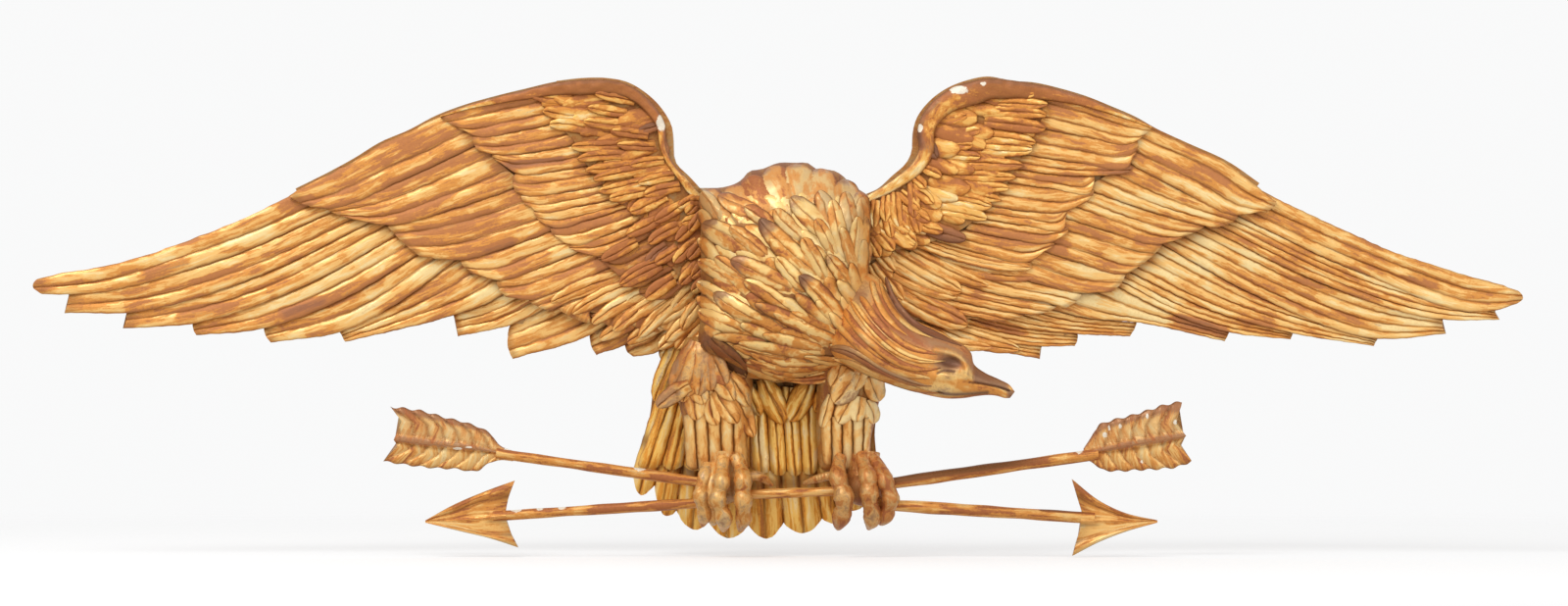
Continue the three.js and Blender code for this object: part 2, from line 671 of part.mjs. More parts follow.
addMesh('body_block', cut(bodyDome(0), [
  ...belowBody, ...wingDowelBores, ...strapPockets, ...strapScrewHoles.flat(), neckBore,
]), gilt)
addMesh('neck_and_head', cut(neck, [bodyDome(copeGap), neckBore]), gilt)
addMesh('neck_dowel', neckDowelShape(0), bareWood)
dowelCentres.forEach((centre) => {
  const [side, level] = [centre.x < 0 ? 'left' : 'right', centre.z > 0 ? 'upper' : 'lower']
  addMesh(`${side}_${level}_wing_dowel`, acrossJoint(centre, wingDowelRadius, wingDowelLength), bareWood)
})

// Hangers: a plate with a rolled eye near the top of each wing's back, and a free D-shaped ring
const eyeRadius = ringWireRadius + boreClearance + eyeWall
const eyeHeight = glueGap + plateThickness + ringClearance + ringWireRadius
const hangerCentre = (side) => vector(side * hangerReach, eyeHeight, hangerHeight)
const hangerScrewShares = [0.42, 0.82]
const hangerScrewDrops = hangerScrewShares.map((share) => share * plateLength)
const hangerScrewPlace = (side, drop) => new THREE.Matrix4().makeTranslation(
  side * hangerReach, glueGap + plateThickness, hangerHeight - drop)
const hangerPlate = (side) => {
  const centre = hangerCentre(side)
  const across = (half, radius) => rodBetween(
    centre.clone().sub(vector(half, 0, 0)), centre.clone().add(vector(half, 0, 0)), radius)
  const eye = across(eyeWidth / 2, eyeRadius)
  const bore = across(eyeWidth / 2 + cutOverrun, ringWireRadius + boreClearance)
  const leaf = new THREE.BoxGeometry(plateWidth, plateThickness, plateLength - eyeRadius)
  leaf.translate(centre.x, glueGap + plateThickness / 2, centre.z - (plateLength + eyeRadius) / 2)
  const web = new THREE.BoxGeometry(eyeWidth, eyeHeight - glueGap, 2 * eyeRadius)
  web.translate(centre.x, (eyeHeight + glueGap) / 2, centre.z - eyeRadius / 2)
  const screwHoles = hangerScrewDrops.map((drop) =>
    screwShape(hangerScrew, boreClearance).applyMatrix4(hangerScrewPlace(side, drop)))
  return cut(join([leaf, web, eye]), [bore, ...screwHoles])
}

// The ring hangs with its straight bar in the eye: a rounded D, widest at the bar
const ringShape = () => {
  const halfWidth = ringWidth / 2 - ringWireRadius
  const bow = ringDrop - ringWireRadius
  const path = [[ringCorner - halfWidth, 0], [0, 0], [halfWidth - ringCorner, 0]]
  const [cornerSteps, bowSteps] = [3, 10]
  const turnCorner = (side, first) => {
    for (let i = 0; i < cornerSteps; i++) {
      const angle = first - (Math.PI * i) / (2 * cornerSteps)
      path.push([side * (halfWidth - ringCorner) + ringCorner * Math.cos(angle),
        ringCorner * (Math.sin(angle) - 1)])
    }
  }
  turnCorner(1, Math.PI / 3)
  for (let i = 1; i < bowSteps; i++) {
    const angle = (Math.PI * i) / bowSteps
    path.push([halfWidth * Math.cos(angle), -ringCorner - (bow - ringCorner) * Math.sin(angle)])
  }
  turnCorner(-1, Math.PI)
  const points = []
  path.forEach(([x, z], i) => {
    const [before, after] = [path.at(i - 1), path[(i + 1) % path.length]]
    const tangent = new THREE.Vector2(after[0] - before[0], after[1] - before[1]).normalize()
    for (let j = 0; j < wireSides; j++) {
      const turn = (2 * Math.PI * j) / wireSides
      const outward = ringWireRadius * Math.cos(turn)
      points.push(vector(x - tangent.y * outward, ringWireRadius * Math.sin(turn), z + tangent.x * outward))
    }
  })
  const triangles = []
  for (let k = 0; k < path.length; k++) {
    for (let j = 0; j < wireSides; j++) {
      const following = (j + 1) % wireSides
      const [a, b] = [k * wireSides + j, k * wireSides + following]
      const ring = ((k + 1) % path.length) * wireSides
      triangles.push([a, b, ring + following], [a, ring + following, ring + j])
    }
  }
  return closedGeometry(points, triangles)
}

// Wing boards: flight board with the long feathers, covert board on it, shoulder board on that
const flightMiddleShare = 0.67
const shoulderCrownShare = 0.67
const covertTaperShare = 0.5
const medianCrestShare = 0.45
const shoulderTaperShare = 0.7
const wingFit = (px, span) => ([x, y]) => [
  Math.abs(x - px.anchor[0]) * span / px.size[0], (px.anchor[1] - y) * wingRise / px.size[1],
]
const wingBoards = (px, span, side) => {
  const fit = wingFit(px, span)
  const chain = (name) => px[name].map(fit)
  const shear = Math.tan(sweep)
  const place = (u, depth, z) => vector(side * (u + glueGap + depth * shear), -depth, z)
  const topEdge = chain('topEdge')
  const [covertEnd, shoulderEnd] = [px.covertTips, px.shoulderTips].map((tips) => fit(tips.at(-1))[0])
  const tipShare = flightTip / flightThickness
  const taperFrom = (first, last, endShare) => (u) =>
    u <= first ? 1 : 1 - (1 - endShare) * (u - first) / (last - first)
  const featherTips = chain('featherTips')
  const flightRoots = chain('flightRoots')
  const halfway = featherTips.map(([u, z]) => [u, (z + heightAt(flightRoots, u)) / 2])
  const covertRoots = chain('covertRoots')
  const medianCrest = covertRoots.map(([u, z]) => [u, z + medianCrestShare * (heightAt(topEdge, u) - z)])
  const shoulderTips = chain('shoulderTips')
  const covertBack = flightThickness + glueGap
  const shoulderBack = covertBack + covertThickness + glueGap
  return {
    flight: stackedBoard({
      rows: [
        { chain: featherTips, depth: flightEdge },
        { chain: halfway, depth: flightEdge + flightMiddleShare * (flightThickness - flightEdge) },
        { chain: flightRoots, depth: flightThickness },
        { chain: topEdge, depth: flightThickness },
      ],
      back: 0, start: 0, end: span, taper: taperFrom(covertEnd, span, tipShare), place,
    }),
    covert: stackedBoard({
      rows: [
        { chain: chain('covertTips'), depth: covertEdge },
        { chain: covertRoots, depth: covertRootDepth },
        { chain: covertRoots.map(([u, z]) => [u, z + medianStep]), depth: medianEdge },
        { chain: medianCrest, depth: covertThickness },
        { chain: topEdge, depth: covertThickness },
      ],
      back: covertBack, start: 0, end: covertEnd,
      taper: taperFrom(shoulderEnd, covertEnd, covertTaperShare), place,
    }),
    shoulder: stackedBoard({
      rows: [
        { chain: shoulderTips, depth: shoulderEdge },
        { chain: shoulderTips.map(([u, z]) => [u, z + shoulderCrownShare * (heightAt(topEdge, u) - z)]),
          depth: shoulderThickness },
        { chain: topEdge, depth: shoulderEdge },
      ],
      back: shoulderBack, start: 0, end: shoulderEnd,
      taper: taperFrom(0, shoulderEnd, shoulderTaperShare), place,
    }),
  }
}
const sides = [
  { name: 'left', side: -1, px: leftWingPx, span: leftWingSpan },
  { name: 'right', side: 1, px: rightWingPx, span: rightWingSpan },
]
sides.forEach(({ name, side, px, span }, index) => {
  const group = wingGroups[index]
  const boards = wingBoards(px, span, side)
  const fromBody = [...wingDowelBores, strapPockets[index], ...strapScrewHoles[index]]
  const hangerHoles = hangerScrewDrops.map((drop) =>
    screwShape(hangerScrew, boreClearance).applyMatrix4(hangerScrewPlace(side, drop)))
  addMesh(`${name}_flight_board`, cut(boards.flight, [
    ...fromBody.map((cutter) => intoWing(cutter, group)), ...hangerHoles,
  ]), gilt, group)
  addMesh(`${name}_covert_board`, merged(boards.covert), gilt, group)
  addMesh(`${name}_shoulder_board`, boards.shoulder, gilt, group)
  addMesh(`${name}_hanger_plate`, hangerPlate(side), darkIron, group)
  const ring = addMesh(`${name}_hanging_ring`, ringShape(), ringSteel, group)
  ring.position.copy(hangerCentre(side))
  addMesh(`${name}_back_strap`, cut(strapShape(side, 0), strapScrewHoles[index]), darkIron)
  addScrews(`${name}_strap_screw`, strapScrew, strapScrewPlaces[index])
  addScrews(`${name}_hanger_screw`, hangerScrew,
    hangerScrewDrops.map((drop) => hangerScrewPlace(side, drop)), group)
})

// Tail board under the body, cut back where the wings come down beside it
const lowerFit = photoFit(bodyPx.valley, valley, lowerPx.size, [tailWidth, tailLength])
const underWing = sides.map(({ px, span, side }, index) => {
  const [first, second] = [px.featherTips[0], px.featherTips[2]].map(wingFit(px, span))
    .map(([u, z]) => vector(side * (bodyWidth / 2 + u * Math.cos(sweep)), 0, z))
  const along = second.sub(first).normalize()
  const normal = vector(-side * along.z, 0, side * along.x)
  return blockBeyond(first.addScaledVector(normal, -glueGap), normal)
})
const bodyWedge = geometryOf(solidOf(aboveLegs[0]).intersect(solidOf(aboveLegs[1])))
const trims = [bodyWedge, ...underWing]
const tailScrewPlaces = lowerPx.tailScrews.map(lowerFit).map(([x, z]) =>
  new THREE.Matrix4().makeTranslation(x, 0, z))
const tailScrewHoles = screwsAt(tailScrewPlaces, tailScrew, boreClearance)
const tailFlatShare = 0.86
const tailBoard = ringedBlock({
  outline: [...lowerPx.tailTop, ...lowerPx.tailRim].map(lowerFit),
  centre: lowerFit(lowerPx.tailCentre),
  back: 0,
  rings: [
    { ringShare: 1, depth: tailEdge },
    { ringShare: tailFlatShare, depth: tailThickness },
    { ringShare: 0, depth: tailThickness },
  ],
})
addMesh('tail_board', cut(tailBoard, [...trims, ...tailScrewHoles]), gilt)
addScrews('tail_screw', tailScrew, tailScrewPlaces)

// Thighs and fists stand on the front of the tail board; a dowel pins each fist to its thigh
const legBack = tailThickness + glueGap
const [kneeHeight, ankleHeight] = [lowerPx.kneeLevel, lowerPx.ankleLevel].map((level) =>
  lowerFit([lowerPx.tailCentre[0], level])[1])
const legDepthShareAt = (height) =>
  1 - (1 - ankleDepth / kneeDepth) * (kneeHeight - height) / (kneeHeight - ankleHeight)
const thighRimShare = 0.62
const legs = [
  { name: 'left', side: -1, thigh: lowerPx.leftThigh, centre: lowerPx.leftThighCentre,
    foot: lowerPx.leftFoot, toeShares: leftToeShares, gripShares: leftGripShares },
  { name: 'right', side: 1, thigh: lowerPx.rightThigh, centre: lowerPx.rightThighCentre,
    foot: lowerPx.rightFoot, toeShares: rightToeShares, gripShares: rightGripShares },
]
const footAt = (leg) => lowerFit(leg.foot)
const ankleDowelShape = (leg, grow) => {
  const [x] = footAt(leg)
  const half = ankleDowelLength / 2 + grow
  const depth = -legBack - ankleDowelInset
  return rodBetween(
    vector(x, depth, ankleHeight - half), vector(x, depth, ankleHeight + half), ankleDowelRadius + grow)
}

// Arrows: where each shaft leaves its fist, which way it runs and how long it is
const shaftDepth = -legBack - shaftForward
const degrees = THREE.MathUtils.degToRad
const arrowShafts = legs.flatMap((leg) => [
  { level: 'upper', entryShares: upperEntryShares, rise: degrees(upperShaftDegrees),
    length: leg.side < 0 ? upperLeftShaftLength : upperRightShaftLength },
  { level: 'lower', entryShares: lowerEntryShares, rise: degrees(lowerShaftDegrees),
    length: leg.side < 0 ? lowerLeftShaftLength : lowerRightShaftLength },
].map(({ level, entryShares, rise, length }) => {
  const [x, z] = footAt(leg)
  const entry = vector(
    x + leg.side * entryShares[0] * footWidth, shaftDepth, z + entryShares[1] * footHeight)
  const direction = vector(leg.side * Math.cos(rise), 0, Math.sin(rise))
  return {
    name: `${level}_${leg.name}_shaft`,
    leg,
    direction,
    start: entry.clone().addScaledVector(direction, -shaftGrip),
    end: entry.clone().addScaledVector(direction, length),
    length: length + shaftGrip,
  }
}))
const shaftSeat = ({ start, end, direction }) => rodBetween(
  start.clone().addScaledVector(direction, -boreClearance), end, shaftRadius + boreClearance)
const shaftShape = ({ length }) => {
  const profile = [
    [0, 0], [shaftRadius, 0], [shaftRadius, length], [tenonRadius, length],
    [tenonRadius, length + tenonLength], [0, length + tenonLength],
  ]
  const shaft = new THREE.LatheGeometry(profile.map(([r, y]) => new THREE.Vector2(r, y)), rodSides)
  return shaft.rotateX(Math.PI / 2)
}
for (const shaft of arrowShafts) {
  const mesh = addMesh(shaft.name, shaftShape(shaft), wornGilt)
  mesh.position.copy(shaft.start)
  mesh.quaternion.setFromUnitVectors(upAxis, shaft.direction)
}
const gripEnds = legs.map((leg) => {
  const [x, z] = footAt(leg)
  return vector(
    x - leg.side * leg.gripShares[0] * footWidth, shaftDepth, z + leg.gripShares[1] * footHeight)
})
const gripAxis = gripEnds[1].clone().sub(gripEnds[0]).normalize()
addMesh('grip_bar', rodBetween(...gripEnds, gripRadius), wornGilt)
const gripSeat = rodBetween(
  gripEnds[0].clone().addScaledVector(gripAxis, -boreClearance),
  gripEnds[1].clone().addScaledVector(gripAxis, boreClearance), gripRadius + boreClearance)

// A fist: a short ankle and palm with three knuckled toes curled over the shafts
const toeSides = 8
const ballDetail = [12, 8]
const fist = (leg) => {
  const [x, z] = footAt(leg)
  const palm = new THREE.SphereGeometry(1, ...ballDetail)
  palm.scale(palmShares.width * footWidth, palmShares.depth * footDepth, palmShares.height * footHeight)
  palm.translate(x, -legBack - palmShares.depth * footDepth - glueGap, z)
  const ankleDepthAt = -legBack - ankleRadius
  const ankle = rodBetween(
    vector(x, ankleDepthAt, z), vector(x, ankleDepthAt, ankleHeight - glueGap), ankleRadius)
  const toes = leg.toeShares.map((share) => sweptSolid(toePath.map((step) => ({
    centre: vector(x + share * footWidth, -legBack - step.depthShare * footDepth,
      z + step.heightShare * footHeight),
    first: vector(step.radiusShare * footWidth, 0, 0),
    second: vector(0, step.radiusShare * footWidth, 0),
  })), toeSides))
  const shafts = arrowShafts.filter((shaft) => shaft.leg === leg)
  const aboveAnkle = blockBeyond(vector(x, 0, ankleHeight - glueGap), upAxis)
  return cut(join([palm, ankle, ...toes]), [
    aboveAnkle, ...shafts.map(shaftSeat), gripSeat, ankleDowelShape(leg, boreClearance)])
}
for (const leg of legs) {
  const thigh = ringedBlock({
    outline: leg.thigh.map(lowerFit),
    centre: lowerFit(leg.centre),
    back: legBack,
    rings: domeRings(thighRimShare * kneeDepth, kneeDepth),
    depthShareAt: legDepthShareAt,
  })
  addMesh(`${leg.name}_thigh`, cut(thigh, [
    ...trims, ...tailScrewHoles, ankleDowelShape(leg, boreClearance)]), gilt)
  addMesh(`${leg.name}_foot`, fist(leg), wornGilt)
  addMesh(`${leg.name}_ankle_dowel`, ankleDowelShape(leg, 0), bareWood)
}

// Arrowheads and fletchings, each bored for the tenon on the end of its shaft
const arrowEnd = (name, px, size, thicknessAt, shaft) => {
  const anchor = shaft.end.clone().addScaledVector(shaft.direction, glueGap)
  const fit = photoFit(px.anchor, [anchor.x, anchor.z], px.size, size)
  const plate = ridgedPlate(px.chains.map((chain) => chain.map(fit)), thicknessAt, -shaftDepth)
  const tenonBore = rodBetween(
    shaft.end, shaft.end.clone().addScaledVector(shaft.direction, tenonLength + boreClearance),
    tenonRadius + boreClearance)
  const shoulder = rodBetween(
    shaft.end.clone().addScaledVector(shaft.direction, -shaftGrip), anchor, shaftRadius + boreClearance)
  addMesh(name, cut(plate, [tenonBore, shoulder]), gilt)
}
const plateThicknessAt = (edge, thickness, rowShares, stationShares) => (j, k) =>
  edge + (thickness - edge) * rowShares[j] * stationShares[k]
const arrowheadThicknessAt = plateThicknessAt(
  arrowheadEdge, arrowheadThickness, arrowheadRowShares, arrowheadStationShares)
const fletchingThicknessAt = plateThicknessAt(
  fletchingEdge, fletchingThickness, fletchingRowShares, fletchingStationShares)
const [upperLeft, lowerLeft, upperRight, lowerRight] = arrowShafts
arrowEnd('left_arrowhead', leftArrowheadPx, [arrowheadLength, leftArrowheadWidth],
  arrowheadThicknessAt, lowerLeft)
arrowEnd('right_arrowhead', rightArrowheadPx, [arrowheadLength, rightArrowheadWidth],
  arrowheadThicknessAt, lowerRight)
arrowEnd('left_fletching', leftFletchingPx, [leftFletchingLength, leftFletchingWidth],
  fletchingThicknessAt, upperLeft)
arrowEnd('right_fletching', rightFletchingPx, [rightFletchingLength, rightFletchingWidth],
  fletchingThicknessAt, upperRight)

export default plaque
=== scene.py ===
import math

import bmesh
import bpy
import numpy as np
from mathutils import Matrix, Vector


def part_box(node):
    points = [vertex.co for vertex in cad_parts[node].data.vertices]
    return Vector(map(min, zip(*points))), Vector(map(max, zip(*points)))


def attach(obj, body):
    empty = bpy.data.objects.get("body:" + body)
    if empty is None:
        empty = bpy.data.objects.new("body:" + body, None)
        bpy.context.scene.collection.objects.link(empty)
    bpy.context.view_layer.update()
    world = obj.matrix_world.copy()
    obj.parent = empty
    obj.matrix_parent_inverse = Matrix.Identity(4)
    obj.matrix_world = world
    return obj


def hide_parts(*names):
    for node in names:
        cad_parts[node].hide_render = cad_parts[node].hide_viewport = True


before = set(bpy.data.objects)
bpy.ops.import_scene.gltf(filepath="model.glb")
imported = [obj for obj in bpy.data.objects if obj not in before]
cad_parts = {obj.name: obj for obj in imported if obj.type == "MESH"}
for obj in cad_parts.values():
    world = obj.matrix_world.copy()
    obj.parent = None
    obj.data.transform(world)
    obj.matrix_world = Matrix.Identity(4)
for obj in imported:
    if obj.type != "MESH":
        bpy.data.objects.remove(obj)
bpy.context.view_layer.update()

print("frame loaded, the dressing starts")

# The front faces -Y and the wall plane is Y = 0. Pixels are those of the 1600 x 618 photograph.
photo = {"metresPerPx": 0.00087, "middlePx": 800.0, "levelPx": 290.0}
wingSet = {"rootX": 0.0743, "sweep": math.radians(5)}
mm = 0.001
rng = np.random.default_rng(7)


def flatPlace(px, py, depth):
    # A pixel and a depth in mm in front of the wall become a point in metres
    x = (px - photo["middlePx"]) * photo["metresPerPx"]
    z = (photo["levelPx"] - py) * photo["metresPerPx"]
    return np.stack(np.broadcast_arrays(x, -depth * mm, z), axis=-1)


def wingPlace(px, py, depth):
    # As flatPlace, but depth counts from the wing's back, which leaves the wall outwards by the sweep
    placed = flatPlace(px, py, 0.0 * depth)
    out = (np.abs(placed[..., 0]) - wingSet["rootX"]) * math.tan(wingSet["sweep"])
    placed[..., 1] = -out - depth * mm / math.cos(wingSet["sweep"])
    return placed


# Lines and noise

def unit(value):
    return np.clip(value, 0, 1)


def ease(t):
    t = unit(t)
    return t * t * (3 - 2 * t)


def bell(t):
    return np.exp(-(t**2))


def steps(count):
    # Even shares from 0 to 1, down a column
    return np.linspace(0, 1, count)[:, None]


def beside(*parts):
    return np.concatenate(parts, axis=1)


def lengthAlong(points):
    return np.concatenate([[0.0], np.cumsum(np.linalg.norm(np.diff(points, axis=0), axis=1))])


def sideOf(turn):
    # Unit vectors square to the steps of a line
    return np.stack([-turn[:, 1], turn[:, 0]], axis=1) / np.linalg.norm(turn, axis=1)[:, None]


def smoothLine(points, count):
    # A cubic curve through the points, timed by the distance between them, at even steps of that time
    points = np.asarray(points, float)
    gaps = np.maximum(np.linalg.norm(np.diff(points, axis=0), axis=1), 1e-6)
    times = np.concatenate([[0.0], np.cumsum(gaps)])
    slopes = np.gradient(points, times, axis=0)
    at = np.linspace(0, times[-1], count)
    k = np.clip(np.searchsorted(times, at, side="right") - 1, 0, len(points) - 2)
    span = (times[k + 1] - times[k])[:, None]
    t = (at[:, None] - times[k][:, None]) / span
    return ((2 * t**3 - 3 * t**2 + 1) * points[k] + (t**3 - 2 * t**2 + t) * span * slopes[k]
            + (3 * t**2 - 2 * t**3) * points[k + 1] + (t**3 - t**2) * span * slopes[k + 1])


def between(upper, lower, a):
    # Pixels at the shares a of the way from one line across to the other
    return (upper[:, None, k] * (1 - a) + lower[:, None, k] * a for k in (0, 1))


def handCut(px, py, size=1.0):
    # The unevenness of a chisel: a few crossing waves of pixel coordinates, about one unit high
    a = np.sin(px * 0.211 / size + py * 0.117 / size + 0.7) * np.sin(py * 0.173 / size - px * 0.061 / size)
    b = np.sin(px * 0.43 / size - py * 0.29 / size + 2.1) * np.sin(py * 0.37 / size + px * 0.19 / size)
    return 0.6 * a + 0.4 * b


def nearPoint(px, py, point, width, height=None):
    # 1 at the point, falling to 0 as a bell curve of the distance to it
    return np.exp(-(((px - point[0]) / width) ** 2 + ((py - point[1]) / (height or width)) ** 2))


def nearLine(px, py, linePx, width):
    offset = np.stack([px, py], axis=-1)[..., None, :] - smoothLine(linePx, 40)
    return bell(np.sqrt((offset**2).sum(axis=-1)).min(axis=-1) / width)


def insidePolygon(px, py, outline):
    # True where a line to the right of the point crosses the outline an odd number of times
    corners = np.asarray(outline, float)
    after = np.roll(corners, -1, axis=0)
    crosses = (corners[:, 1] > py) != (after[:, 1] > py)
    step = np.where(after[:, 1] == corners[:, 1], 1e-9, after[:, 1] - corners[:, 1])
    at = corners[:, 0] + (py - corners[:, 1]) * (after[:, 0] - corners[:, 0]) / step
    return np.count_nonzero(crosses & (at > px)) % 2 == 1


# Carvings: closed shells gathered into one mesh, with the marks that the leaf's material reads
# The groove mark darkens hollows and creases: their real bole and dirt, deepened with painted shade
markNames = ("groove", "dust", "rub", "chip", "tone")


def newCarving():
    return {"count": 0, **{key: [] for key in ("points", "faces", "grain", *markNames)}}


def addLoops(carving, loops, grain, *marks):
    # Rows of loops joined by quads into one closed shell, with a flat face at each end
    rows, around = loops.shape[:2]
    index = carving["count"] + np.arange(rows * around).reshape(rows, around)
    following = np.roll(index, -1, axis=1)
    quads = np.stack([index[:-1], following[:-1], following[1:], index[1:]], axis=-1).reshape(-1, 4)
    carving["faces"] += quads.tolist() + [index[0, ::-1].tolist(), index[-1].tolist()]
    carving["points"].append(loops.reshape(-1, 3))
    carving["grain"].append(np.broadcast_to(grain, (rows, around, 3)).reshape(-1, 3))
    for key, value in zip(markNames, marks + (0.0,) * len(markNames)):
        carving[key].append(np.broadcast_to(value, (rows, around)).reshape(-1))
    carving["count"] += rows * around


# Where the photograph is paler or browner than its surroundings, from real wear and from painted shade:
# a short pixel line, half width, tone
wearAndShadeSpotsPx = [
    (575, 122, 612, 118, 6, 0.16), (622, 150, 666, 112, 20, -0.08), (582, 156, 612, 150, 6, 0.1),
    (522, 170, 572, 163, 5, -0.14), (533, 180, 580, 173, 7, 0.14), (535, 198, 612, 192, 4, 0.08),
    (547, 211, 596, 204, 5, 0.11), (560, 222, 612, 215, 5, 0.08), (556, 233, 620, 226, 5, -0.14),
    (580, 244, 632, 234, 6, 0.08), (612, 270, 624, 262, 7, -0.18), (634, 226, 672, 216, 8, -0.03),
    (653, 190, 678, 182, 6, 0.08), (690, 205, 702, 218, 9, 0.1), (500, 257, 522, 248, 6, -0.14),
    (526, 334, 550, 318, 9, 0.1), (580, 334, 612, 313, 7, -0.08), (616, 310, 645, 300, 6, 0.14),
    (640, 345, 662, 320, 8, -0.08), (648, 356, 672, 338, 9, 0.05), (686, 340, 700, 322, 9, 0.05),
    (38, 291, 82, 288, 8, -0.09), (146, 270, 176, 262, 6, 0.12), (152, 279, 192, 267, 6, -0.2),
    (188, 250, 200, 246, 5, -0.14), (236, 247, 276, 234, 7, 0.16), (238, 236, 268, 225, 5, -0.06),
    (292, 211, 316, 205, 7, -0.18), (168, 287, 250, 263, 5, 0.12), (202, 287, 266, 273, 5, -0.13),
    (224, 295, 306, 271, 6, 0.08), (186, 322, 260, 308, 6, -0.15), (250, 317, 326, 297, 8, 0.15),
    (292, 319, 328, 307, 7, -0.16), (276, 345, 300, 336, 6, -0.05), (400, 140, 450, 128, 6, 0.03),
    (415, 150, 456, 137, 6, -0.15), (441, 153, 474, 144, 5, 0.07), (384, 183, 453, 162, 5, 0.13),
    (400, 189, 468, 160, 7, -0.17), (418, 194, 475, 176, 5, 0.13), (484, 174, 498, 170, 4, 0.14),
    (405, 217, 456, 200, 6, -0.1), (426, 238, 504, 222, 7, -0.14), (506, 210, 533, 203, 6, 0.06),
    (483, 261, 521, 246, 6, -0.15), (441, 262, 475, 256, 5, -0.02), (518, 276, 556, 261, 7, -0.14),
    (508, 301, 575, 293, 6, 0.06), (499, 110, 537, 99, 6, -0.06), (455, 124, 552, 113, 4, 0.07),
    (502, 170, 575, 164, 4, -0.2), (322, 258, 372, 233, 6, 0.13), (361, 258, 399, 242, 6, 0.13),
    (292, 303, 400, 257, 9, 0.1), (292, 320, 388, 288, 7, -0.16), (380, 299, 445, 273, 6, 0.13),
    (393, 315, 479, 281, 9, -0.13), (483, 301, 508, 295, 5, 0.13), (472, 323, 516, 309, 7, 0.15),
    (353, 334, 393, 323, 6, 0.08), (399, 336, 460, 322, 6, -0.08), (640, 312, 700, 300, 10, 0.05),
    (650, 330, 700, 318, 9, 0.05), (1002, 120, 1012, 114, 6, 0.08), (1012, 127, 1060, 128, 8, -0.1),
    (1000, 146, 1050, 154, 8, 0.13), (958, 136, 992, 140, 9, -0.06), (966, 164, 981, 162, 6, 0.13),
    (988, 171, 1042, 170, 3, -0.16), (968, 184, 1029, 196, 8, -0.02), (949, 196, 1008, 208, 8, 0.1),
    (959, 217, 1008, 225, 6, 0.08), (1070, 128, 1168, 135, 4, 0.11), (1076, 108, 1123, 114, 7, -0.07),
    (1066, 140, 1160, 145, 5, 0.05), (1062, 157, 1153, 164, 4, 0.08), (1124, 174, 1150, 173, 5, -0.26),
    (1057, 175, 1110, 178, 3, 0.08), (1057, 183, 1103, 184, 4, -0.16), (1030, 196, 1110, 200, 5, 0.09),
    (1117, 189, 1198, 204, 7, 0.1), (998, 236, 1084, 250, 8, -0.17), (1090, 232, 1184, 246, 8, -0.12),
    (1058, 260, 1152, 270, 7, -0.08), (1042, 285, 1133, 293, 7, -0.13), (1008, 299, 1082, 309, 8, 0.13),
    (1096, 303, 1112, 306, 7, 0.2), (996, 300, 1050, 310, 4, -0.15), (918, 270, 980, 292, 8, 0.08),
    (940, 315, 980, 323, 6, -0.08), (972, 340, 1060, 352, 8, 0.1), (994, 328, 1045, 340, 5, -0.13),
    (1158, 285, 1198, 305, 9, 0.08), (1264, 228, 1300, 236, 6, 0.15), (1308, 240, 1372, 264, 7, 0.13),
    (1217, 246, 1290, 262, 7, 0.16), (1268, 270, 1299, 279, 5, 0.17), (1350, 262, 1438, 285, 6, -0.06),
    (1434, 285, 1460, 290, 5, -0.18), (1390, 285, 1464, 304, 6, 0.1), (1324, 285, 1440, 311, 5, -0.15),
    (1344, 318, 1400, 332, 6, -0.15), (1266, 322, 1294, 329, 6, -0.13), (1202, 268, 1244, 279, 6, 0.13),
    (1203, 326, 1248, 338, 7, -0.13), (1294, 308, 1322, 315, 4, 0.1), (1432, 320, 1462, 332, 8, 0.08),
    (1480, 294, 1540, 310, 8, -0.04), (1158, 142, 1218, 165, 8, 0.1), (1220, 168, 1246, 184, 6, -0.13),
    (1254, 202, 1296, 210, 6, 0.05), (1190, 186, 1272, 215, 7, 0.13), (1142, 203, 1232, 217, 6, 0.13),
    (1196, 221, 1234, 227, 5, 0.13), (1142, 236, 1189, 243, 6, 0.04), (1182, 258, 1232, 268, 5, 0.13),
    (1174, 274, 1218, 281, 5, 0.15), (1143, 300, 1194, 316, 7, 0.17), (1197, 323, 1245, 338, 7, -0.13),
    (1155, 320, 1187, 328, 5, 0.13), (1242, 286, 1326, 316, 6, -0.1), (936, 137, 954, 157, 8, -0.2)]


def wearAndShadeAt(px, py):
    # The tones of the spots a pixel lies on, each flat near its line and falling off past its half width
    total = np.zeros_like(px)
    for fromX, fromY, toX, toY, half, tone in wearAndShadeSpotsPx:
        runX, runY = toX - fromX, toY - fromY
        t = unit(((px - fromX) * runX + (py - fromY) * runY) / (runX**2 + runY**2))
        gap = (px - fromX - t * runX) ** 2 + (py - fromY - t * runY) ** 2
        total += tone * bell(gap / half**2)
    return total


def linked(name, data):
    made = bpy.data.objects.new(name, data)
    bpy.context.collection.objects.link(made)
    return made


# An edge is sharp past this angle: on feathers, on flat plates and on rounded pieces
featherDegrees, plateDegrees, roundedDegrees = 42, 50, 60


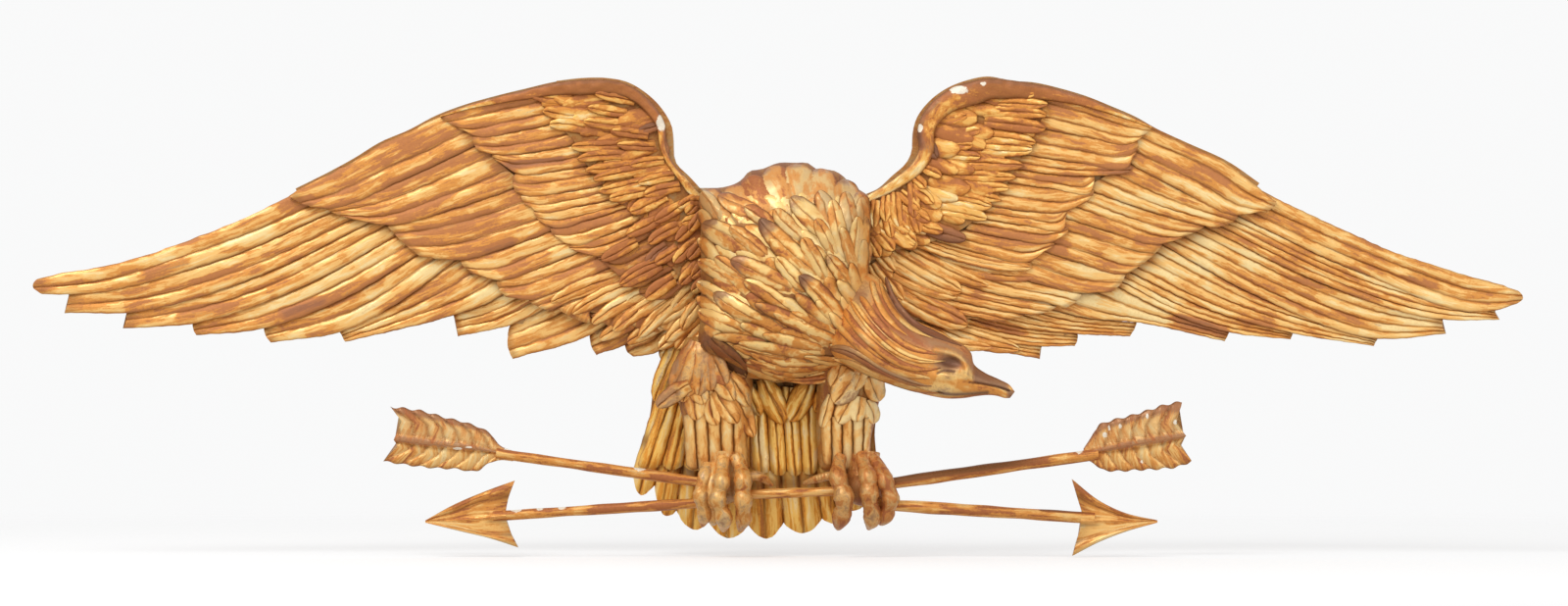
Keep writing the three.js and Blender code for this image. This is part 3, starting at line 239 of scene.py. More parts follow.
def finishCarving(carving, name, material, replaced, sharpDegrees=featherDegrees):
    # The piece stands in for the CAD node. Brown spots, the worn ones and those of painted shade, count as
    # rubbed as well
    mesh = bpy.data.meshes.new(name)
    points = np.concatenate(carving["points"])
    mesh.from_pydata(points, [], carving["faces"])
    layers = {key: np.concatenate(carving[key]) for key in ("grain", *markNames)}
    wearAndShade = wearAndShadeAt(points[:, 0] / photo["metresPerPx"] + photo["middlePx"],
                  photo["levelPx"] - points[:, 2] / photo["metresPerPx"])
    layers["tone"] = layers["tone"] + wearAndShade
    layers["rub"] = layers["rub"] + np.clip(-wearAndShade - 0.07, 0, 0.2) * 3.4
    for key, values in layers.items():
        kind, field = ("FLOAT_VECTOR", "vector") if key == "grain" else ("FLOAT", "value")
        layer = mesh.attributes.new(key, kind, "POINT")
        layer.data.foreach_set(field, values.astype(np.float32).reshape(-1))
    faces = bmesh.new()
    faces.from_mesh(mesh)
    bmesh.ops.recalc_face_normals(faces, faces=faces.faces)
    faces.to_mesh(mesh)
    faces.free()
    mesh.polygons.foreach_set("use_smooth", [True] * len(mesh.polygons))
    mesh.set_sharp_from_angle(angle=math.radians(sharpDegrees))
    mesh.materials.append(material)
    piece = linked(name, mesh)
    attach(piece, "plaque")
    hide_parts(replaced)
    print("made", name, len(mesh.polygons), "faces")


# Columns of one gouged strip, from one groove's bottom to the next
stripColumns = np.array([0.0, 0.06, 0.14, 0.34, 0.56, 0.78, 0.91])
# What a feather or leaf is like where its own look doesn't say: heights and depths in mm. A look gives its
# root and tip, and its wall goes down by drop, or as far as the fixed depth under. The shape of a leaf is
# how blunt its tip is and its heel's share of the width.
plainLook = dict(
    strips=2, slope=1.0, tilt=1.6, crown=0.6, belly=0.0, groove=1.3, edge=0.7, rough=0.34, droop=0.8,
    drop=4.0, bulge=0.0, unsteady=0.6, shadowBand=(0.5, 1.0, 0.0), vein=1.0, rootDark=0.8, lined=0.0, stainAndShade=0.0,
    rub=0.0, rubFrom=0.5, dust=0.0, tone=0.0, shade=0.0)


def ribbon(carving, upper, lower, place, look, baseAt=None):
    # A feather between two pixel lines of equal count. Along runs from root to tip and across from the
    # upper line to the lower. Height = root to tip slope + tilt across + crown of each strip - grooves.
    look = {**plainLook, **look}
    rows, strips = len(upper), look["strips"]
    s = steps(rows)
    edges = np.linspace(0, 1, strips + 1)
    edges[1:-1] += rng.uniform(-0.16, 0.16, strips - 1) / strips
    columns = [edge + stripColumns * (after - edge) for edge, after in zip(edges, edges[1:])]
    columns = np.concatenate(columns + [[1.0]])
    inStrip = np.concatenate([np.tile(stripColumns, strips), [1.0]])[None]
    strip = np.concatenate([np.repeat(np.arange(strips), len(stripColumns)), [strips - 1]])[None]
    wave = rng.uniform(-1, 1, 3)
    seed = rng.uniform(0, 40) + 1.37 * strip + look["shade"]
    middle = np.sin(np.pi * columns)[None]
    a = columns[None] + 0.035 * middle * np.sin(np.pi * (1.3 + wave[0]) * s + 3 * wave[1])
    px, py = between(upper, lower, a)
    heading = upper[-1] + lower[-1] - upper[-2] - lower[-2]
    heading = heading / max(np.linalg.norm(heading), 1e-6)
    push = look["bulge"] * 4 * a * (1 - a) * ease((s - 0.8) / 0.2)
    px, py = px + heading[0] * push, py + heading[1] * push
    unsteady = look["unsteady"]
    px, py = px + unsteady * handCut(px, py, 0.7), py + unsteady * handCut(py, px, 0.7)

    width = np.linalg.norm(lower - upper, axis=1)[:, None] * photo["metresPerPx"] / mm
    narrow = np.clip(width / 8.0, 0.15, 1)
    arch = 4 * inStrip * (1 - inStrip)
    low = 1 - np.minimum(np.minimum(inStrip, 1 - inStrip) / 0.12, 1)
    outer = np.where((columns[None] < 1e-6) | (columns[None] > 1 - 1e-6), 1.0, 0.0)
    fade = 0.35 + 0.65 * ease(s / 0.12 + 0.2) * (1 - 0.55 * ease((s - 0.86) / 0.14))
    waver = 0.72 + 0.28 * np.sin(2 * np.pi * (1.7 * s + wave[2]) + 2.3 * np.floor(strip + inStrip + 0.5))
    cut = look["groove"] * low * (1 - outer) * fade * waver + look["edge"] * outer
    crown = look["crown"] * arch + look["belly"] * middle
    height = (look["root"] + (look["tip"] - look["root"]) * s ** look["slope"]
              + (look["tilt"] * (a - 0.5) + crown - cut) * narrow
              + look["rough"] * (handCut(px, py) + 0.5 * handCut(px, py, 0.4))
              - look["droop"] * ease((s - 0.93) / 0.07) ** 2)
    height = height + (baseAt(px, py) if baseAt else 0.0)
    sides = [-1, 0]
    foot = np.full((rows, 2), look["under"]) if "under" in look else height[:, sides] - look["drop"]
    loops = beside(place(px, py, height), place(px[:, sides], py[:, sides], foot))

    along = lengthAlong((upper + lower) / 2)[:, None] * photo["metresPerPx"]
    grain = np.stack(np.broadcast_arrays(along, (a - 0.5) * width * mm, seed), axis=-1)
    toRim = np.minimum(columns, 1 - columns)[None] * strips
    rim = unit(1 - toRim / 0.14)
    vein = rim + look["vein"] * (1 - rim)
    # Painted shade at each root, where it tucks under the feathers above
    shadeAtRoot = 0.85 * (1 - ease(s / 0.1)) * look["rootDark"]
    lined = look["lined"] * np.maximum(unit(1 - toRim / 0.2), ease((s - 0.94) / 0.05))
    recess = np.maximum(unit(0.9 * low * vein * (0.35 + 0.65 * fade * waver) + shadeAtRoot), lined)
    # A painted shadow band across the feathers, on the tail laid under the grip bar
    bandAt, bandHalf, bandShadow = look["shadowBand"]
    # The stain share darkens a whole leaf: real stain, and painted shade where a leaf lies in a recess
    recess = recess + look["stainAndShade"] + bandShadow * bell((s - bandAt) / bandHalf)
    rub = look["rub"] * ease((s - look["rubFrom"]) / 0.35) * (0.85 + 0.6 * wave[0] * (a - 0.5))
    # Painted highlight on the crown of each strip and painted shade towards its lower line, on top of the
    # look's tone
    tone = look["tone"] + 0.09 * (arch - 0.6) - 0.05 * (inStrip - 0.5) + 0 * s
    grain, rub, tone = (beside(values, values[:, sides]) for values in (grain, rub, tone))
    # The walls go fully dark at their foot: painted shade under each feather's edge
    addLoops(carving, loops, grain, beside(unit(recess), np.ones((rows, 2))), look["dust"], rub, 0.0, tone)


def boundary(root, notch, bend, rows, *tip):
    # The line between two feathers: from its root through a sagging middle and the notch on to the tip
    run = notch - root
    sag = np.array([-run[1] * np.sign(run[0]), abs(run[0])])
    return smoothLine([root, (root + notch) / 2 + sag * bend, notch, *tip], rows)


def featherRow(carving, row, look):
    # Neighbouring feathers share a boundary; each ends in a cut from its upper notch to its lower tip
    look = {**look, **row.get("look", {})}
    rows = look["rows"]
    roots, notches, tips = (np.asarray(row[key], float) for key in ("rootsPx", "notchesPx", "tipsPx"))
    out = roots - notches
    roots = roots + out / np.linalg.norm(out, axis=1)[:, None] * 12
    upper = smoothLine(row["edgePx"], rows)
    for k, (strips, bulge) in enumerate(zip(row["strips"], row["bulges"])):
        lower = boundary(roots[k + 1], notches[k + 1], row["bend"], rows, tips[k])
        ribbon(carving, upper, lower, wingPlace, dict(look, strips=strips, bulge=bulge))
        upper = boundary(roots[k + 1], notches[k + 1], row["bend"], rows)


def stripRow(carving, topsPx, feetPx, look, bulges, baseAt=None):
    # Straight strips side by side, each from its two tops down to its two feet
    edges = [smoothLine(ends, look["rows"]) for ends in zip(topsPx, feetPx)]
    for left, right, bulge in zip(edges, edges[1:], bulges):
        ribbon(carving, left, right, flatPlace, dict(look, bulge=bulge), baseAt)


def leafLines(root, tip, width, bend, look):
    # A leaf: half widths grow from the heel, stay, and close round the tip along a bent middle line
    blunt, heel = look["shape"]
    root, tip = np.asarray(root, float), np.asarray(tip, float)
    run = tip - root
    side = np.array([-run[1], run[0]])
    s = 1 - (1 - steps(look["rows"])) ** 1.4
    middle = root + run * s + side * bend * 4 * s * (1 - s)
    across = sideOf(run + side * bend * 4 * (1 - 2 * s))
    close = np.sqrt(np.clip(1 - unit((s - 0.42) / 0.58) ** blunt, 0.002, 1))
    half = across * width / 2 * ((heel + (1 - heel) * ease(s / 0.4)) * close)
    return middle - half, middle + half


def leaf(carving, root, tip, width, bend, look, baseAt=None, place=flatPlace):
    ribbon(carving, *leafLines(root, tip, width, bend, look), place, look, baseAt)


# Finishes

def painted(red, green, blue):
    # A colour as read off the photograph, 0 to 255, as the renderer's linear one
    share = np.array([red, green, blue]) / 255
    linear = np.where(share <= 0.04045, share / 12.92, ((share + 0.055) / 1.055) ** 2.4)
    return (*linear.tolist(), 1.0)


def node(tree, kind, inputs=None, **settings):
    made = tree.nodes.new(kind)
    for key, value in settings.items():
        setattr(made, key, value)
    for key, value in (inputs or {}).items():
        if isinstance(value, bpy.types.NodeSocket):
            tree.links.new(value, made.inputs[key])
        else:
            made.inputs[key].default_value = value
    return made


def mathNode(tree, operation, first, second, clamp=False):
    inputs = {0: first, 1: second}
    return node(tree, "ShaderNodeMath", inputs, operation=operation, use_clamp=clamp).outputs[0]


def times(tree, first, second, clamp=False):
    return mathNode(tree, "MULTIPLY", first, second, clamp)


def vectorNode(tree, operation, first, second=(0.0, 0.0, 0.0)):
    return node(tree, "ShaderNodeVectorMath", {0: first, 1: second}, operation=operation).outputs[0]


def noiseNode(tree, at, scale, detail, **more):
    inputs = {"Vector": at, "Scale": scale, "Detail": detail, **more}
    return node(tree, "ShaderNodeTexNoise", inputs).outputs[0]


def markNode(tree, name, output="Fac"):
    return node(tree, "ShaderNodeAttribute", attribute_name=name).outputs[output]


def swung(tree, value, noise, amount):
    # The value, plus the amount times how far the noise is from its middle
    swing = times(tree, mathNode(tree, "SUBTRACT", noise, 0.5), amount)
    return mathNode(tree, "ADD", value, swing)


def blendColour(tree, factor, first, second):
    # Inputs 6 and 7 and output 2 of the mix node are those for colours
    return node(tree, "ShaderNodeMix", {"Factor": factor, 6: first, 7: second}, data_type="RGBA").outputs[2]


def stretch(tree, value, low, high):
    return node(tree, "ShaderNodeMapRange", {"Value": value, "From Min": low, "From Max": high},
                interpolation_type="SMOOTHSTEP").outputs[0]


def newMaterial(name, shaderInputs):
    # A material whose shader takes the inputs, which a function of its node tree gives
    material = bpy.data.materials.new(name)
    material.use_nodes = True
    tree = material.node_tree
    tree.nodes.clear()
    shader = node(tree, "ShaderNodeBsdfPrincipled", shaderInputs(tree))
    node(tree, "ShaderNodeOutputMaterial", {0: shader.outputs[0]})
    return material


def bumped(tree, height, strength, distance):
    inputs = {"Height": height, "Strength": strength, "Distance": distance}
    return node(tree, "ShaderNodeBump", inputs).outputs[0]


goldSet = dict(
    light=painted(252, 200, 118), mid=painted(226, 152, 68), bole=painted(172, 98, 52),
    deep=painted(126, 76, 28), pale=painted(255, 226, 160), dusty=painted(190, 154, 114),
    gesso=painted(240, 228, 208), mauve=painted(154, 100, 70), umber=painted(112, 72, 52),
    patchMm=(34.0, 5.0))


def giltMaterial(name, share, **changes):
    # Worn leaf: noise stretched along each strip picks leaf, rubbed leaf or bole, the groove mark darkens
    # grooves with real bole and painted shade, and fine noise in object space breaks it all up
    paint = {**goldSet, **changes}

    def shaderInputs(tree):
        grain = markNode(tree, "grain", "Vector")
        place = node(tree, "ShaderNodeTexCoord").outputs["Object"]
        along, across = paint["patchMm"]
        patchAt = vectorNode(tree, "MULTIPLY", grain, (1000 / along, 1000 / across, 3.1))
        patch = noiseNode(tree, patchAt, 1.0, 3.0, Roughness=0.62, Distortion=0.35)
        wide = noiseNode(tree, place, 11.0, 2.0)
        fine = noiseNode(tree, place, 420.0, 3.0, Roughness=0.7)
        seed = node(tree, "ShaderNodeSeparateXYZ", {0: grain}).outputs[2]
        perStrip = node(tree, "ShaderNodeTexNoise", {"W": seed, "Scale": 2.7, "Detail": 1.0},
                        noise_dimensions="1D").outputs[0]
        # Each sheet of leaf, laid across the strip, has its own tone
        sheetAt = vectorNode(tree, "ADD", vectorNode(tree, "MULTIPLY", grain, (1000 / 17, 0.0, 3.1)), patch)
        sheet = node(tree, "ShaderNodeTexWhiteNoise", {"Vector": vectorNode(tree, "FLOOR", sheetAt)},
                     noise_dimensions="3D").outputs["Value"]
        worn = patch
        for noise, amount in ((wide, 0.35), (fine, 0.16), (perStrip, 0.24), (sheet, 0.07)):
            worn = swung(tree, worn, noise, amount)
        # The tone mark holds painted highlight and shade as well as real tone
        worn = mathNode(tree, "ADD", worn, markNode(tree, "tone"))
        toMid = stretch(tree, worn, share - 0.12, share - 0.03)
        toLight = stretch(tree, worn, share - 0.01, share + 0.09)
        rub = markNode(tree, "rub")
        bare = stretch(tree, swung(tree, swung(tree, rub, patch, 2.2), fine, 0.7), 0.35, 0.95)
        depth = mathNode(tree, "ADD", 0.7, times(tree, patch, 0.5))
        chip = swung(tree, markNode(tree, "chip"), fine, 0.6)
        layers = (
            ("mid", toMid), ("light", toLight), ("pale", stretch(tree, worn, share + 0.12, share + 0.24)),
            ("mid", times(tree, stretch(tree, fine, 0.3, 0.7), 0.22)),
            ("dusty", times(tree, markNode(tree, "dust"), stretch(tree, worn, 0.3, 0.62), True)),
            # Mauve and umber follow the rub mark: leaf rubbed through to bole, and painted shade in some
            # hollows
            ("mauve", times(tree, bare, 0.78)), ("umber", times(tree, stretch(tree, rub, 0.95, 1.45), 0.75)),
            # Deep colour in the grooves: real bole and dirt, deepened with painted shade
            ("deep", times(tree, markNode(tree, "groove"), depth, True)),
            ("gesso", stretch(tree, chip, 0.42, 0.58)),
        )
        colour = paint["bole"]
        for over, factor in layers:
            colour = blendColour(tree, factor, colour, paint[over])
        gloss = {"Value": toLight, "To Min": 0.55, "To Max": 0.38}
        rough = node(tree, "ShaderNodeMapRange", gloss).outputs[0]
        tool = noiseNode(tree, vectorNode(tree, "MULTIPLY", grain, (90.0, 520.0, 1.0)), 1.0, 2.0)
        relief = times(tree, tool, 0.7)
        for height in (fine, toMid):
            relief = mathNode(tree, "ADD", relief, times(tree, height, 0.35))
        return {"Base Color": colour, "Metallic": 0.3, "Roughness": rough,
                "Normal": bumped(tree, relief, 0.55, 0.0006)}

    return newMaterial(name, shaderInputs)


def plainMaterial(name, first, second, scale, roughness, metallic=0.0, squash=(1, 1, 1)):
    def shaderInputs(tree):
        place = vectorNode(tree, "MULTIPLY", node(tree, "ShaderNodeTexCoord").outputs["Object"], squash)
        noise = noiseNode(tree, place, scale, 5.0, Roughness=0.65)
        colour = blendColour(tree, stretch(tree, noise, 0.35, 0.65), painted(*first), painted(*second))
        return {"Base Color": colour, "Metallic": metallic, "Roughness": roughness,
                "Normal": bumped(tree, noise, 0.4, 0.0005)}

    return newMaterial(name, shaderInputs)


paleGrooves = dict(bole=painted(190, 120, 68), deep=painted(144, 92, 42))
warmLeaf = dict(light=painted(248, 190, 98), mid=painted(220, 144, 60), bole=painted(178, 106, 54),
                deep=painted(132, 80, 30), patchMm=(26.0, 9.0))
wingGold = {}
# Darker copies for the left wing and lighter for the right, partly painted light that evens out the key lamp
# from the upper left
for side, flight, covert, shoulder in (("left", 0.475, 0.52, 0.56), ("right", 0.455, 0.475, 0.525)):
    wingGold[side] = {"flight": giltMaterial(f"{side} leaf gold", flight, **paleGrooves),
                      "covert": giltMaterial(f"{side} covert gold", covert, **paleGrooves),
                      "shoulder": giltMaterial(f"{side} shoulder gold", shoulder, **warmLeaf)}
bodyGold = giltMaterial("body leaf gold", 0.462, patchMm=(30.0, 16.0), light=painted(255, 214, 134),
                        deep=painted(104, 66, 34))
# A lighter copy, partly painted light against the body's shadow on the tail
tailGold = giltMaterial("tail leaf gold", 0.42, mid=painted(234, 158, 52), light=painted(255, 206, 104),
                        bole=painted(178, 108, 40))
thighGold = giltMaterial("thigh leaf gold", 0.445, patchMm=(24.0, 9.0))
neckGold = giltMaterial("rubbed bole gold", 0.48, patchMm=(50.0, 15.0), light=painted(255, 210, 128),
                        deep=painted(98, 60, 40))
footGold = {"left": giltMaterial("left foot gold", 0.415, patchMm=(9.0, 7.0)),
            "right": giltMaterial("right foot gold", 0.495, patchMm=(9.0, 7.0), mid=painted(214, 138, 64))}
shaftGold = giltMaterial("shaft gold", 0.53)
arrowGold = giltMaterial("arrow gold", 0.5)
carvedNodeGold = plainMaterial("gilt board", (150, 96, 40), (208, 146, 70), 60, 0.5, 0.2)
boardWood = plainMaterial("bare board wood", (120, 84, 50), (152, 112, 72), 45, 0.8, 0.0, (1.0, 1.0, 9.0))
strapIron = plainMaterial("dark strap iron", (46, 42, 38), (70, 62, 52), 160, 0.55, 0.8)
screwIron = plainMaterial("worn screw iron", (104, 96, 84), (146, 134, 116), 220, 0.42, 0.8)
ringSteel = plainMaterial("dull ring steel", (140, 132, 116), (172, 162, 144), 200, 0.38, 0.9)
print("materials made")

# Wings: each has three stacked boards with four rows of feathers, and a rolled leading edge
rowLooks = {
    "flight": dict(rows=56, root=19.0, tip=8.5, slope=1.4, under=0.4, tilt=1.8, groove=1.35, lined=0.5),
    "covert": dict(rows=40, root=28.6, tip=25.2, under=20.6, groove=1.2, lined=0.6),
    "median": dict(rows=34, root=34.2, tip=31.2, under=25.5, tilt=1.4, groove=1.1, lined=0.6),
    "inner": dict(rows=24, shape=(2.6, 0.85), drop=6.0, tilt=1.2, groove=1.1, belly=1.0, rootDark=0.4),
}
# The plain board behind each row: its back, its fronts from the body outwards, and the next one's back in mm
boardSet = {
    "flight": {"back": 0.3, "fronts": (10, 10, 8.5, 6), "next": 20.1},
    "covert": {"back": 20.6, "fronts": (25, 25, 23.5, 22.5), "next": 34.4, "leafDepth": 26.5},
    "shoulder": {"back": 34.9, "fronts": (36.4, 36.4, 36.2, 35.8)},
}
shoulderSet = {
    "look": dict(rows=22, shape=(3.0, 0.85), drop=4.5, tilt=0.7, groove=0.8, crown=0.4, belly=0.5,
                 rootDark=0.3, edge=0.8, slope=0.6, rough=0.5, lined=0.45),
    # Dark leaves: dark brown, deepened as painted shade where they lie in a recess
    "dark": dict(rows=20, root=38.5, tip=40.6, groove=0.9, stainAndShade=0.2, rub=1.25, rubFrom=-0.4, tone=-0.12),
    "rows": 9, "perRow": 15, "stepPx": 25, "leafPx": (48, 19), "depths": (37.5, 40.0, 42.0),
    "listedDepth": 37.6, "neckPy": 212, "bodyReachPx": 22, "rollDepths": (37, 39, 40, 40, 39, 37, 34, 31),
}
leftWing = {
    "flight": {
        "edgePx": [
            (318, 189), (291, 203), (255, 221), (219, 236), (179, 251), (143, 263), (102, 273), (70, 278),
            (41, 284.5)],
        "rootsPx": [
            (312, 193), (347, 212), (380, 225), (406, 238), (430, 256), (458, 269), (516, 297),
            (611, 274), (653, 303), (673, 318), (691, 331), (712, 345)],
        "notchesPx": [
            (41, 284.5), (73, 300.5), (131, 319), (198, 330), (270, 335), (347, 338.6), (462.5, 321.5),
            (519.6, 331.7), (601, 342), (637, 352), (671, 358.5), (704, 373)],
        "tipsPx": [
            (46, 299.5), (69, 319), (127.5, 335), (202, 342), (277, 349), (353, 348.5), (467, 343),
            (523, 366), (608, 362), (646, 364), (678, 373)],
        "strips": [2, 2, 2, 2, 2, 3, 3, 3, 2, 2, 2],
        "bulges": [6, -1.5, -2, 1, 1, 0, -1, 4, 2, 2, 1], "bend": 0.045},
    "covert": {
        "edgePx": [
            (466, 112), (447, 120), (421, 134), (391, 147), (367, 162), (337, 178.5), (306, 194),
            (297, 200)],
        "rootsPx": [
            (452, 118), (478, 152), (524, 192), (560, 236), (592, 256), (622, 272), (645, 280),
            (662, 286), (684, 296), (702, 306), (714, 318)],
        "notchesPx": [
            (297, 200), (334, 213), (396, 230), (470, 265.5), (507, 286), (540, 306), (568, 314),
            (602, 322), (638, 328), (670, 332), (702, 336)],
        "tipsPx": [
            (322, 212), (357, 223), (430, 262), (483, 279), (516, 302.5), (563, 317), (606, 330),
            (642, 336), (674, 339), (704, 342)],
        "strips": [2, 3, 3, 2, 2, 2, 2, 2, 2, 2],
        "bulges": [2, 2, 2, 2, 2, 3, 3, 3, 3, 3], "bend": 0.02},
    "median": {
        "edgePx": [(566, 84), (539, 92), (503, 101), (477, 108.5), (450, 119)],
        "rootsPx": [
            (545, 92), (562, 126), (577, 149), (600, 168), (610, 189), (622, 203), (634, 213), (646, 228),
            (660, 242), (676, 260), (690, 272), (704, 286)],
        "notchesPx": [
            (450, 119), (484, 139), (503, 158), (527, 177), (533, 199), (546, 215), (562, 232),
            (582, 250), (612, 262), (634, 282), (652, 293), (676, 306)],
        "tipsPx": [
            (478, 136), (490, 155), (512, 167), (528, 197), (543, 213), (556, 229), (577, 248),
            (589, 257), (618, 268), (638, 292), (660, 304)],
        "strips": [3, 2, 2, 2, 2, 2, 2, 2, 2, 2, 2],
        "bulges": [2, 3, 3, 4, 4, 4, 4, 4, 4, 4, 4], "bend": 0.03,
        "look": {"rub": 0.15, "rubFrom": -0.4, "tone": -0.06}},
    "shoulder": {
        "tipRowPx": [
            (539, 97), (554, 110), (566, 131), (583, 148), (592, 168), (606, 181), (616, 197), (636, 214),
            (650, 227), (664, 246), (676, 266), (690, 286)],
        # Tip, root and width of the leaves that can be told apart
        "leavesPx": [
            ((543, 98), (600, 101), 13), ((554, 113), (618, 119), 16), ((561, 127), (622, 136), 15),
            ((584, 150), (632, 148), 13), ((590, 163), (640, 158), 12), ((598, 174), (650, 167), 12),
            ((606, 183), (660, 172), 12), ((612, 195), (658, 184), 12), ((622, 203), (660, 195), 13),
            ((643, 217), (680, 199), 16), ((651, 187), (688, 179), 12), ((657, 199), (694, 190), 13),
            ((643, 169), (678, 164), 11), ((600, 110), (640, 116), 12), ((596, 124), (640, 128), 13),
            ((625, 134), (662, 138), 12), ((630, 148), (668, 150), 11), ((608, 96), (648, 104), 11),
            ((614, 265), (650, 246), 14), ((633, 290), (674, 268), 19), ((659, 305), (688, 284), 17),
            ((640, 240), (672, 224), 15), ((668, 226), (698, 208), 14), ((662, 248), (692, 230), 14),
            ((690, 246), (712, 224), 14), ((688, 268), (712, 246), 14), ((700, 218), (714, 204), 12),
            ((668, 268), (692, 252), 13), ((694, 290), (713, 268), 14), ((704, 236), (720, 214), 13),
            ((702, 264), (722, 240), 14), ((706, 284), (724, 262), 14), ((692, 212), (712, 200), 11),
            ((704, 204), (722, 206), 11), ((706, 298), (724, 282), 14), ((696, 228), (716, 222), 12)],
        "darkLeavesPx": [
            ((682, 158), (675, 134), 8), ((660, 268), (680, 250), 13), ((650, 136), (676, 128), 10)]},
    "boardTopPx": [
        (715.5, 199), (700, 182), (684, 165), (681, 140), (680, 129), (671, 112), (656, 97), (638, 86.5),
        (620, 83), (595, 83), (569, 86), (539, 93), (503, 102), (477, 109.5), (447, 121), (421, 135),
        (391, 148), (367, 163), (337, 179.5), (306, 195), (291, 204), (255, 222), (219, 237), (179, 252),
        (143, 264), (102, 274), (62, 281)],
    "boardFootPx": (715.5, 346), "covertFootPx": (715.5, 326), "covertReachPx": 498,
    "innerLeavesPx": [
        ((646, 288), (584, 320), 16, 2.0), ((660, 296), (604, 330), 16, 2.6),
        ((676, 302), (626, 338), 16, 3.2), ((690, 308), (652, 344), 16, 3.8),
        ((632, 280), (562, 308), 15, 1.4), ((712, 322), (680, 348), 18, 0.5),
        ((708, 306), (668, 330), 18, 2.0), ((700, 296), (650, 322), 18, 2.5),
        ((690, 284), (640, 308), 17, 3.0), ((712, 290), (686, 316), 17, 4.0),
        ((714, 308), (696, 336), 16, 3.0), ((716, 326), (690, 356), 18, -2.0),
        ((704, 332), (672, 356), 17, -3.0), ((690, 322), (640, 350), 18, -3.5),
        ((668, 318), (612, 346), 18, -3.5), ((720, 340), (706, 366), 16, -1.0)],
    "chipsPx": [((675, 126), 5.5, 10)],
    "rollPx": [
        (726, 206), (711, 194), (700, 181), (685, 163), (680, 149), (679.5, 139), (679, 129), (670, 111),
        (656, 96), (638, 85.5), (620, 82), (595, 82), (569, 85), (539, 92), (503, 101), (477, 108.5),
        (450, 118.5)],
    "rollWidthsPx": [7, 8, 9, 8, 6, 9, 15, 18, 18, 16, 13, 10, 8, 7, 6, 5.5, 5],
    "rollTones": [
        0.12, 0.14, 0.14, 0.08, -0.08, -0.33, 0.02, 0.03, 0.02, 0.0, 0.03, 0.04, 0.02, 0.02, 0.0, 0.0,
        0.0],
    "shoulderReachPx": 258, "shoulderFootPx": (715.4, 300), "innerTone": 0.06}

